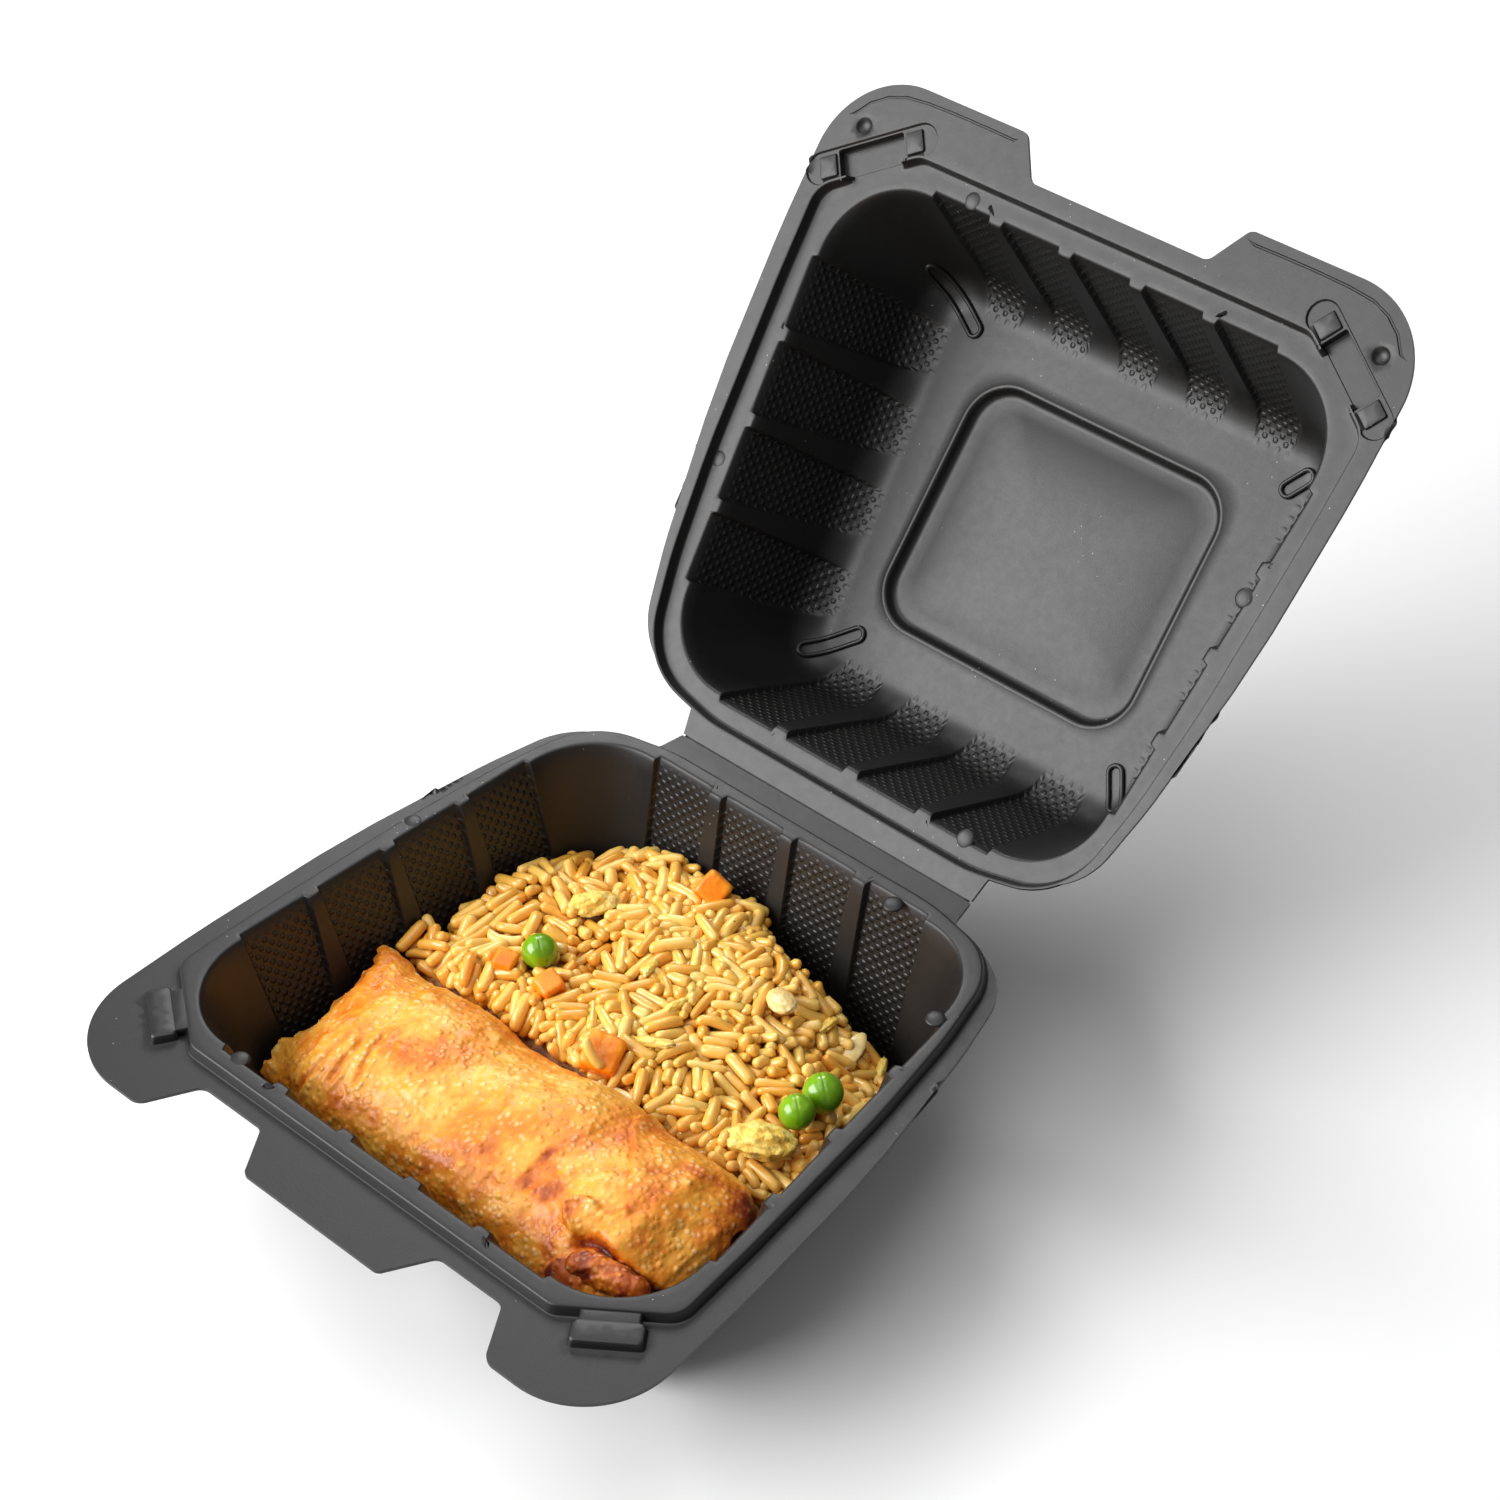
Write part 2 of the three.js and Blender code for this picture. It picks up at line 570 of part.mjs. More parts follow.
// Half width of the basin's ribs at a height, for what lies inside
function basinReach(y, z) {
  const { inset, full } = wallAt(RIM_TOP - z, TRAY_DEPTH, TRAY_DRAFT);
  const taper = (y - BASIN_FRONT_CORNER[1]) / (BASIN_BACK_CORNER[1] - BASIN_FRONT_CORNER[1]);
  return {
    halfX: mix(BASIN_FRONT_CORNER[0], BASIN_BACK_CORNER[0], taper) - inset - RIB_RELIEF_TOP,
    backY: BASIN_BACK_CORNER[1] - inset - RIB_RELIEF_TOP,
    cornerRadius: mix(BASIN_BACK_RADIUS, BASIN_FLOOR_RADIUS, clamp01(inset / full)),
  };
}

// How far a point lies inside the basin's walls, negative outside
function roomInBasin(x, y, z) {
  const { halfX, backY, cornerRadius } = basinReach(y, z);
  const room = Math.min(halfX - Math.abs(x), backY - y, z - BASIN_FLOOR);
  const cornerX = Math.abs(x) - (halfX - cornerRadius);
  const cornerY = y - (backY - cornerRadius);
  if (cornerX > 0 && cornerY > 0) {
    return Math.min(room, cornerRadius - Math.hypot(cornerX, cornerY));
  }
  return room;
}

// Height of the rice over the table
function heapHeight(x, y) {
  const crownX = Math.cos((x - HEAP_CROWN.x) / HEAP_CROWN.spreadX);
  const crownY = Math.cos((y - HEAP_CROWN.y) / HEAP_CROWN.spreadY);
  const toRight = ramp(x, SLOPE_TO_RIGHT.x);
  const toBackRight = ramp(x, SLUMP_BACK_RIGHT.x) * ramp(y, SLUMP_BACK_RIGHT.y);
  const toBackLeft = ramp(-x, SLUMP_BACK_LEFT.x) * ramp(y, SLUMP_BACK_LEFT.y);
  const drops = [
    SLOPE_TO_RIGHT.drop * toRight,
    SLUMP_BACK_RIGHT.drop * toBackRight,
    SLUMP_BACK_LEFT.drop * toBackLeft,
    DIP_BY_ROLL.drop * (1 - ramp(y, DIP_BY_ROLL.y)),
  ];
  return HEAP_TOP + HEAP_CROWN.height * crownX * crownY - drops.reduce((sum, drop) => sum + drop);
}

// Reach of the heap from its middle in a direction, held off the walls and the roll
function heapReach(angle, z) {
  const stepX = Math.cos(angle);
  const stepY = Math.sin(angle);
  let reach = HEAP_REACH.from;
  while (reach < HEAP_REACH.to) {
    const x = HEAP_MIDDLE[0] + stepX * reach;
    const y = HEAP_MIDDLE[1] + stepY * reach;
    const rightSlump = x > 0 ? HEAP_RIGHT_GAP + HEAP_BACK_RIGHT_GAP * ramp(y, [10, 30]) : 0;
    if (roomInBasin(x, y, z) < HEAP_WALL_GAP + rightSlump) break;
    if (y < ROLL_CENTRE_Y + ROLL_HALF_WIDTH * HEAP_ROLL_OVERLAP) break;
    reach += HEAP_REACH.step;
  }
  return reach;
}

const edgeSag = (share) => HEAP_EDGE.drop * ramp(share, [HEAP_EDGE.from, 1 - HEAP_EDGE.from]);

function heapCore() {
  const rings = [];
  const ringAt = (share, z) => {
    const ring = [];
    for (let station = 0; station < HEAP_STATIONS; station += 1) {
      const angle = (station / HEAP_STATIONS) * 2 * Math.PI;
      const reach = heapReach(angle, z ?? HEAP_EDGE_Z) * share;
      const x = HEAP_MIDDLE[0] + Math.cos(angle) * reach;
      const y = HEAP_MIDDLE[1] + Math.sin(angle) * reach;
      const bump = HEAP_LUMPS * Math.sin(x * 0.9) * Math.cos(y * 0.8);
      ring.push(new THREE.Vector3(x, y, z ?? heapHeight(x, y) + bump - GRAIN_DEPTH - edgeSag(share)));
    }
    return ring;
  };
  rings.push(ringAt(HEAP_FOOT_SHARE, BASIN_FLOOR + CLEARANCE));
  rings.push(ringAt(1, HEAP_LOW_Z));
  for (let ring = HEAP_RINGS; ring > 0; ring -= 1) rings.push(ringAt(ring / HEAP_RINGS));
  return solid(loft(rings));
}

// A grain: a short rod with rounded ends, lying along X
function grainGeometry(length, width) {
  const radius = width / 2;
  const half = length / 2;
  const profile = [[0, -half], [radius, -half * 0.55], [radius, half * 0.5], [0, half]];
  const points = profile.map(([r, along]) => new THREE.Vector2(r, along));
  return new THREE.LatheGeometry(points, GRAIN_SIDES).rotateZ(-Math.PI / 2);
}

// Toppings on the rice: name, kind, centre, size, and how far each is turned about X, Y and Z
const TOPPINGS = [
  ['pea_1', 'pea', [-25.2, 9.4, 30.6], 3.8, [0, 0, 0]],
  ['pea_2', 'pea', [42.9, 20.4, 26.4], 4.2, [0, 0, 0]],
  ['pea_3', 'pea', [43.4, 12.1, 28.2], 3.7, [0, 0, 0]],
  ['carrot_1', 'carrot', [-11.2, 47, 29.4], 3.9, [38, 32, 10]],
  ['carrot_2', 'carrot', [-29.6, 3.4, 29.2], 2.9, [10, 15, 20]],
  ['carrot_3', 'carrot', [-17.9, 4.6, 28.9], 3.3, [15, -10, 75]],
  ['carrot_4', 'carrot', [3.1, -1.4, 27.6], 5, [25, 14, 22]],
  ['egg_1', 'egg', [-28, 28, 28.6], 4.2, [8, 5, 60]],
  ['egg_2', 'egg', [42.4, 3.2, 26.3], 5.6, [0, 12, 40]],
  ['onion_1', 'onion', [21, 32.5, 28.2], 4.2, [10, 8, 147]],
].map(([name, kind, [x, y, z], size, [turnX, turnY, turnZ]]) => (
  { name, kind, x, y, z, size, turn: { turnX, turnY, turnZ } }
));

const TOPPING_FINISH = {
  pea: { color: 0x4f9a1c, roughness: 0.35, metalness: 0 },
  carrot: { color: 0xe8701a, roughness: 0.4, metalness: 0 },
  egg: { color: 0xf0cf72, roughness: 0.55, metalness: 0 },
  onion: { color: 0xe9dcae, roughness: 0.4, metalness: 0 },
};

// A carrot dice is a ball drawn out to the rounded cube of this power, egg and onion are flat scraps
const DICE_POWER = 5;
const DICE_SHARE = 0.8;
const SCRAP_SHAPE = { egg: [1.2, 0.72, 0.5], onion: [1, 0.72, 0.32] };

function diceGeometry(radius) {
  const ball = new THREE.IcosahedronGeometry(1, 1);
  const place = ball.attributes.position;
  for (let index = 0; index < place.count; index += 1) {
    const point = new THREE.Vector3().fromBufferAttribute(place, index);
    const powers = point.toArray().map((part) => Math.abs(part) ** DICE_POWER);
    const length = (powers[0] + powers[1] + powers[2]) ** (1 / DICE_POWER);
    place.setXYZ(index, ...point.multiplyScalar((radius * DICE_SHARE) / length).toArray());
  }
  return ball;
}

function toppingGeometry({ kind, x, y, z, size, turn }, extra) {
  const radius = size + extra;
  if (kind === 'pea') return placed(new THREE.IcosahedronGeometry(radius, 1), { x, y, z });
  if (kind === 'carrot') return placed(diceGeometry(radius), { x, y, z, ...turn });
  const scrap = new THREE.IcosahedronGeometry(radius, 1).scale(...SCRAP_SHAPE[kind]);
  return placed(scrap, { x, y, z, ...turn });
}

// Whether a point lies in the space that the roll and the toppings take up
function takenByFood(x, y, z) {
  const overRoll = Math.hypot(
    (y - ROLL_CENTRE_Y) / (ROLL_HALF_WIDTH + 1),
    (z - ROLL_CENTRE_Z) / (ROLL_HALF_HEIGHT + 1),
  );
  if (overRoll < 1) return true;
  return TOPPINGS.some((topping) => {
    const near = topping.size + TOPPING_ROOM;
    return Math.hypot(x - topping.x, y - topping.y, z - topping.z) < near;
  });
}

// Grains spread evenly over the heap, each tilted a little, with those that would cross left out
function heapGrains() {
  const random = seededRandom(HEAP_SEED);
  const kept = [];
  const grains = [];
  for (let turn = 0; turn < GRAIN_TRIES && grains.length < GRAIN_LIMIT; turn += 1) {
    const angle = random() * 2 * Math.PI;
    const share = Math.sqrt(random());
    const length = mix(GRAIN_LENGTH[0], GRAIN_LENGTH[1], random());
    const width = mix(GRAIN_WIDTH[0], GRAIN_WIDTH[1], random());
    const heading = random() * Math.PI;
    const tilt = (random() - GRAIN_TILT_DOWN) * GRAIN_TILT * DEGREE;
    const reach = heapReach(angle, HEAP_EDGE_Z) * share;
    const x = HEAP_MIDDLE[0] + Math.cos(angle) * reach;
    const y = HEAP_MIDDLE[1] + Math.sin(angle) * reach;
    const above = width * 0.24 + Math.abs(Math.sin(tilt)) * length * 0.3;
    const z = heapHeight(x, y) - GRAIN_DEPTH - edgeSag(share) + above;
    const direction = new THREE.Vector3(
      Math.cos(heading) * Math.cos(tilt),
      Math.sin(heading) * Math.cos(tilt),
      Math.sin(tilt),
    );
    const middle = new THREE.Vector3(x, y, z);
    const ends = [-1, 0, 1].map((end) => middle.clone().addScaledVector(direction, (end * length) / 2));
    const crowded = kept.some((other) => Math.hypot(other.x - x, other.y - y) < GRAIN_SPACING);
    const blocked = ends.some((end) => (
      roomInBasin(end.x, end.y, end.z) < width / 2 + CLEARANCE || takenByFood(end.x, end.y, end.z)
    ));
    if (crowded || blocked) continue;
    kept.push({ x, y });
    const swing = new THREE.Quaternion().setFromUnitVectors(new THREE.Vector3(1, 0, 0), direction);
    const matrix = new THREE.Matrix4().makeRotationFromQuaternion(swing).setPosition(x, y, z);
    grains.push(solid(grainGeometry(length, width).applyMatrix4(matrix)));
  }
  return grains;
}

function makeRiceHeap() {
  const toppings = TOPPINGS.map((topping) => solid(toppingGeometry(topping, CLEARANCE)));
  const taken = joined([solid(makeRollBody(CLEARANCE)), rolledCorner(CLEARANCE), ...toppings]);
  return geometryOf(joined([heapCore(), ...heapGrains()]).subtract(taken));
}

const group = new THREE.Group();
group.add(named('tray_shell', makeTray(), BLACK_PLASTIC));

const lid = new THREE.Group();
lid.position.set(0, HINGE_Y, HINGE_Z);
lid.rotation.x = -LID_OPEN_ANGLE * DEGREE;
lid.add(named('lid_shell', makeLid(), BLACK_PLASTIC));
group.add(lid);

group.add(named('egg_roll', makeEggRoll(), { color: 0xd98a35, roughness: 0.6, metalness: 0 }));
group.add(named('rice_heap', makeRiceHeap(), { color: 0xe6cf95, roughness: 0.45, metalness: 0 }));
TOPPINGS.forEach((topping) => {
  group.add(named(topping.name, toppingGeometry(topping, 0), TOPPING_FINISH[topping.kind]));
});

export default group;
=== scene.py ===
"""Takeaway meal container: a black hinged tray and lid with an egg roll and vegetable fried rice."""
import math

import bmesh
import bpy
import numpy as np
from mathutils.bvhtree import BVHTree
from mathutils import Matrix, Vector, noise
from mathutils.geometry import delaunay_2d_cdt


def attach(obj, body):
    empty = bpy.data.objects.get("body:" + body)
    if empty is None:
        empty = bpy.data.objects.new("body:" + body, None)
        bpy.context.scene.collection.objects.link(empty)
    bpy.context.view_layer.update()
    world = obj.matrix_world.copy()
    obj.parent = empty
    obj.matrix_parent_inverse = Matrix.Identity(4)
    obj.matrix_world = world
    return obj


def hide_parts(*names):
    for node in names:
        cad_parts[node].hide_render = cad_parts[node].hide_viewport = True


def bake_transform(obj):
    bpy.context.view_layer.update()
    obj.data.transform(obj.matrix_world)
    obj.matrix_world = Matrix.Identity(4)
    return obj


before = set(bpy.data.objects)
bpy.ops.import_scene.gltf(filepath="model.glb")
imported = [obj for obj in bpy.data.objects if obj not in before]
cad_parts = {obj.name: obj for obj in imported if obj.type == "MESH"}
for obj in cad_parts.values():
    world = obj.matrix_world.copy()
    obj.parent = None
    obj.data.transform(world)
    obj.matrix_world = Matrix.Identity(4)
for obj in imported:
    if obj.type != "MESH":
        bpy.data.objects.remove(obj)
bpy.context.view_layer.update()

MM = 0.001

# Moulded sheet, in millimetres
SHEET = 0.8
FLANGE_TOP = 40.9
RIM_TOP = 43.1
FOOT_STEP = 1.2
HINGE_Y = 69.4
HINGE_GAP = 0.15
HINGE_Z = FLANGE_TOP + HINGE_GAP
LID_OPEN = math.radians(133.8)
LEDGE_DEPTH = 2.5
LID_FLOOR_DEPTH = 37.3
LID_PANEL_DEPTH = 2.1
GROOVE_CLEARANCE = 0.9
RIM_SLOPE = 0.6

FLANGE_SIDE = [(75.2, -38, 150), (72.3, 0, 150), (66.2, 35.5, 60), (60.8, 56.8, 17), (41.6, 62.4, 3),
               (40.2, HINGE_Y - HINGE_GAP, 0)]
TRAY_FLANGE = [(18.5, -76.4, 2), (24.7, -66.4, 2.5), (41.6, -66.4, 3), (48.4, -77.8, 3.5),
               (76.4, -77.8, 19.5)] + FLANGE_SIDE
LID_FLANGE = [(22.9, -68, 2.5), (28.9, -77.1, 2.5), (76.2, -77.1, 19.5)] + FLANGE_SIDE
RIM_CORNERS = [(50, -62, 4), (69.7, -48.1, 5), (68.6, -28, 120), (65.4, 12, 120), (62, 36, 50),
               (56.6, 58.4, 17), (36, 62.6, 30)]

# Basin: opening corners (x, y, round), floor round, and the fillet between wall and floor
BASIN_CORNERS = [(-67.9, -58.2, 20), (67.9, -58.2, 20), (56.8, 59.2, 20), (-56.8, 59.2, 20)]
BASIN_FLOOR_RADIUS = 5
FILLET = 9
RELIEF_TOP, RELIEF_FLOOR = 1.4, 0.9
RIB_EDGE = 0.7
KNURL_PITCH = 1.35
# Walls in order front, right, back, left: panels, pitch, rib width and shift at the top and the floor
WALLS = [(5, (18.6, 18.1), (3.6, 10), (0, 0)), (4, (19.9, 19.3), (3.2, 9.8), (2.3, -0.4)),
         (4, (20, 18.7), (3.8, 8.7), (0, 0)), (4, (19.9, 19.3), (3.2, 9.8), (-2.3, 0.4))]
TRAY_DRAFT, LID_DRAFT = 16, 18
PANEL_HALF = (33.7, 29.0)
PANEL_RADIUS = 10
PANEL_CENTRE_Y = 0.4

LATCH_CENTRE = (61.9, -59.5)
LATCH_TURN = 35.2
# Half-moon marks on the openings, and the ends of the lid's corner beads
TRAY_MOONS = [(-63.5, 11.4), (29.7, 57.5), (57, 38.5), (-40, -58)]
LID_MOONS = [(-35.3, 129.3), (31.1, 10.3), (-65, 56), (63, 80)]
LID_BEADS = [((-53.9, 113.7), (-40.5, 105)), ((47.9, 109), (43.3, 102.5)), ((-44.1, 24.9), (-32.9, 35)),
             ((42.3, 27), (37.3, 35.7))]


def mix(a, b, t):
    return a + (b - a) * t


def smooth(t):
    t = np.clip(t, 0, 1)
    return t * t * (3 - 2 * t)


def bell(distance, width):
    return np.exp(-(distance / width) ** 2)


def unit(v):
    return v / np.linalg.norm(v)


def units(rows):
    return rows / np.linalg.norm(rows, axis=1)[:, None]


def cross(a, b):
    return a[..., 0] * b[..., 1] - a[..., 1] * b[..., 0]


def mirrored(half):
    return list(half) + [(-x, y, r) for x, y, r in reversed(half)]


def grown(corners, distance):
    """The same outline with every side moved outward."""
    points = [np.array(c[:2], float) for c in corners]
    count = len(points)
    sides = []
    for i in range(count):
        along = unit(points[(i + 1) % count] - points[i])
        sides.append((points[i] + distance * np.array([along[1], -along[0]]), along))
    result = []
    for i in range(count):
        before, after = sides[i - 1], sides[i]
        turn = cross(before[1], after[1])
        place = before[0] + before[1] * cross(after[0] - before[0], after[1]) / turn
        result.append((place[0], place[1], max(0, corners[i][2] + np.sign(turn) * distance)))
    return result


def rounded(corners, arc_step=5, side_step=None):
    """Points along a closed outline whose corners are rounded; long sides are divided too."""
    points = []
    count = len(corners)
    for i in range(count):
        here = np.array(corners[i][:2], float)
        back = unit(np.array(corners[i - 1][:2]) - here)
        ahead = unit(np.array(corners[(i + 1) % count][:2]) - here)
        turn = math.pi - math.acos(np.clip(back @ ahead, -1, 1))
        radius = corners[i][2]
        if radius == 0:
            points.append(here)
            continue
        centre = here + unit(back + ahead) * (radius / math.cos(turn / 2))
        arm = here + back * radius * math.tan(turn / 2) - centre
        sign = np.sign(cross(ahead, back)) or 1
        steps = max(1, round(turn / math.radians(arc_step)))
        for k in range(steps + 1):
            a = sign * turn * k / steps
            c, s = math.cos(a), math.sin(a)
            points.append(centre + np.array([c * arm[0] - s * arm[1], s * arm[0] + c * arm[1]]))
    points = np.array(points)
    if side_step:
        parts = []
        for p, q in zip(points, np.roll(points, -1, 0)):
            pieces = max(1, math.ceil(np.linalg.norm(q - p) / side_step))
            parts.append(p + (q - p) * np.arange(pieces)[:, None] / pieces)
        points = np.concatenate(parts)
    return points


def along_rays(outline, turns):
    """Where rays from the middle at these turns meet an outline."""
    closed = np.vstack([outline, outline[:1]])
    angle = np.unwrap(np.arctan2(closed[:, 1], closed[:, 0]))
    spot = (turns - angle[0]) % (2 * math.pi) + angle[0]
    i = np.clip(np.searchsorted(angle, spot, side="right") - 1, 0, len(outline) - 1)
    p, q = closed[i], closed[i + 1]
    ray = np.stack([np.cos(turns), np.sin(turns)], 1)
    t = -cross(p, ray) / cross(q - p, ray)
    return p + t[:, None] * (q - p)


def inside(points, outline):
    """Which points lie inside a closed outline."""
    x, y = points[:, 0][:, None], points[:, 1][:, None]
    a, b = outline, np.roll(outline, -1, 0)
    crosses = (a[:, 1] > y) != (b[:, 1] > y)
    with np.errstate(divide="ignore", invalid="ignore"):
        at = a[:, 0] + (y - a[:, 1]) * (b[:, 0] - a[:, 0]) / (b[:, 1] - a[:, 1])
    return (crosses & (x < at)).sum(1) % 2 == 1


# Materials

class Socket:
    """A shader value that takes Python arithmetic."""

    def __init__(self, tree, link):
        self.tree = tree
        self.link = link

    def maths(self, operation, *values):
        node = self.tree.nodes.new("ShaderNodeMath")
        node.operation = operation
        for slot, value in enumerate(values):
            if isinstance(value, Socket):
                self.tree.links.new(value.link, node.inputs[slot])
            else:
                node.inputs[slot].default_value = value
        return Socket(self.tree, node.outputs[0])

    def __add__(self, other):
        return self.maths("ADD", self, other)

    __radd__ = __add__

    def __mul__(self, other):
        return self.maths("MULTIPLY", self, other)

    def __sub__(self, other):
        return self.maths("SUBTRACT", self, other)

    def __rsub__(self, other):
        return self.maths("SUBTRACT", other, self)

    def cos(self):
        return self.maths("COSINE", self)

    def step(self, low, high):
        """0 below low and 1 above high, smooth between."""
        node = self.tree.nodes.new("ShaderNodeMapRange")
        node.interpolation_type = "SMOOTHSTEP"
        self.tree.links.new(self.link, node.inputs["Value"])
        node.inputs["From Min"].default_value = low
        node.inputs["From Max"].default_value = high
        return Socket(self.tree, node.outputs["Result"])


class Finish:
    """One material: its nodes are added by type, settings and socket values."""

    def __init__(self, name):
        self.material = bpy.data.materials.new(name)
        self.material.use_nodes = True
        self.tree = self.material.node_tree
        self.tree.nodes.clear()
        self.surface = self.tree.nodes.new("ShaderNodeBsdfPrincipled")
        output = self.tree.nodes.new("ShaderNodeOutputMaterial")
        self.tree.links.new(self.surface.outputs[0], output.inputs["Surface"])
        self.place = self.node("ShaderNodeTexCoord", "Object")

    def node(self, kind, out, **values):
        node = self.tree.nodes.new(kind)
        for key, value in values.items():
            self.plug(node.inputs[key], value)
        return Socket(self.tree, node.outputs[out])

    def plug(self, target, value):
        if isinstance(value, Socket):
            self.tree.links.new(value.link, target)
        else:
            target.default_value = value

    def attribute(self, name):
        node = self.tree.nodes.new("ShaderNodeAttribute")
        node.attribute_name = name
        return Socket(self.tree, node.outputs["Fac"])

    def noise(self, scale, detail, roughness=0.55):
        return self.node("ShaderNodeTexNoise", "Fac", Vector=self.place, Scale=scale, Detail=detail,
                         Roughness=roughness)

    def cells(self, scale):
        return self.node("ShaderNodeTexVoronoi", "Distance", Vector=self.place, Scale=scale)

    def ramp(self, factor, stops):
        node = self.tree.nodes.new("ShaderNodeValToRGB")
        ramp = node.color_ramp
        while len(ramp.elements) < len(stops):
            ramp.elements.new(0.5)
        for element, (position, colour) in zip(ramp.elements, stops):
            element.position = position
            element.color = (*colour, 1)
        self.tree.links.new(factor.link, node.inputs[0])
        return Socket(self.tree, node.outputs[0])

    def blend(self, factor, a, b):
        node = self.tree.nodes.new("ShaderNodeMix")
        node.data_type = "RGBA"
        self.plug(node.inputs[0], factor)
        for slot, value in ((6, a), (7, b)):
            self.plug(node.inputs[slot], value if isinstance(value, Socket) else (*value, 1))
        return Socket(self.tree, node.outputs[2])

    def bump(self, height, distance, strength=1.0, under=None):
        values = {"Height": height, "Distance": distance, "Strength": strength}
        if under:
            values["Normal"] = under
        return self.node("ShaderNodeBump", 0, **values)

    def set(self, **values):
        for key, value in values.items():
            name = key.replace("_", " ")
            if name == "Base Color" and not isinstance(value, Socket):
                value = (*value, 1)
            self.plug(self.surface.inputs[name], value)
        return self.material


def black_polypropylene():
    f = Finish("black mineral-filled polypropylene")
    grain = f.noise(2600, 2)
    cloud = f.noise(38, 3)
    scuff = f.noise(420, 5, 0.7)
    dust = f.cells(520).step(0.075, 0.05)
    spread = f.noise(60, 2).step(0.57, 0.66)
    speck = dust * spread
    along = f.attribute("wall_along") * (math.pi / KNURL_PITCH)
    rise = f.attribute("wall_rise") * (math.pi / KNURL_PITCH)
    knurl = (along.cos() * rise.cos()).step(-0.1, 0.9)
    embossed = knurl * f.attribute("panel")
    colour = f.blend(cloud, (0.005, 0.0046, 0.0045), (0.0085, 0.0079, 0.0078))
    colour = f.blend(speck, colour, (0.42, 0.41, 0.39))
    normal = f.bump(embossed, 0.00022)
    normal = f.bump(grain, 0.00003, 0.5, normal)
    return f.set(Base_Color=colour, Roughness=0.34 + scuff * 0.14 + cloud * 0.06, IOR=1.52,
                 Normal=normal)


def mesh_object(name, vertices, faces, material):
    """An object at the origin with its place, in millimetres, in its mesh."""
    mesh = bpy.data.meshes.new(name)
    mesh.from_pydata((np.asarray(vertices) * MM).tolist(), [], [tuple(f) for f in faces])
    mesh.materials.append(material)
    mesh.update()
    mesh.polygons.foreach_set("use_smooth", np.ones(len(mesh.polygons), bool))
    thing = bpy.data.objects.new(name, mesh)
    bpy.context.scene.collection.objects.link(thing)
    return thing


def sharpen(mesh, degrees):
    """Marks the edges where faces meet at more than an angle."""
    shape = bmesh.new()
    shape.from_mesh(mesh)
    limit = math.radians(degrees)
    for edge in shape.edges:
        edge.smooth = len(edge.link_faces) == 2 and edge.calc_face_angle(0) < limit
    shape.to_mesh(mesh)
    shape.free()


def settled(thing):
    """The object with its modifiers applied."""
    bpy.context.view_layer.update()
    result = bpy.data.meshes.new_from_object(thing.evaluated_get(bpy.context.evaluated_depsgraph_get()))
    thing.modifiers.clear()
    thing.data = result
    return thing


def tube_faces(rings, sides, first=0):
    """Faces between rings of points, numbered from the first."""
    faces = []
    for start in range(first, first + (rings - 1) * sides, sides):
        for side in range(sides):
            a, b = start + side, start + (side + 1) % sides
            faces.append((a, b, b + sides, a + sides))
    return faces


def end_faces(rings, sides):
    """The two flat ends of a tube of rings."""
    return [tuple(range(sides))[::-1], tuple((rings - 1) * sides + side for side in range(sides))]


def add_layer(piece, name, values):
    """Keeps one value per point for the material."""
    store = piece.data.attributes.new(name, "FLOAT", "POINT")
    store.data.foreach_set("value", values.astype(np.float32))


def merged(parts):
    """Several lots of points and faces as one lot."""
    faces, start = [], 0
    for points, some in parts:
        faces += [tuple(i + start for i in face) for face in some]
        start += len(points)
    return np.concatenate([points for points, some in parts]), faces


def ball(radius, rings=26, sides=36):
    """Points of a sphere with closed poles, and its faces."""
    points = [(0, 0, -radius)]
    for r in range(1, rings):
        t = math.pi * r / rings
        for k in range(sides):
            a = 2 * math.pi * k / sides
            points.append((radius * math.sin(t) * math.cos(a), radius * math.sin(t) * math.sin(a),
                           -radius * math.cos(t)))
    points.append((0, 0, radius))
    faces = [(0, 1 + (k + 1) % sides, 1 + k) for k in range(sides)]
    faces += tube_faces(rings - 1, sides, 1)
    last = 1 + (rings - 2) * sides
    faces += [(last + k, last + (k + 1) % sides, len(points) - 1) for k in range(sides)]
    return np.array(points), faces


# Tray and lid

EDGE_STEPS = (-0.5, -0.25, 0, 0.25, 0.5)
PANEL_TO_CORNER = 0.8


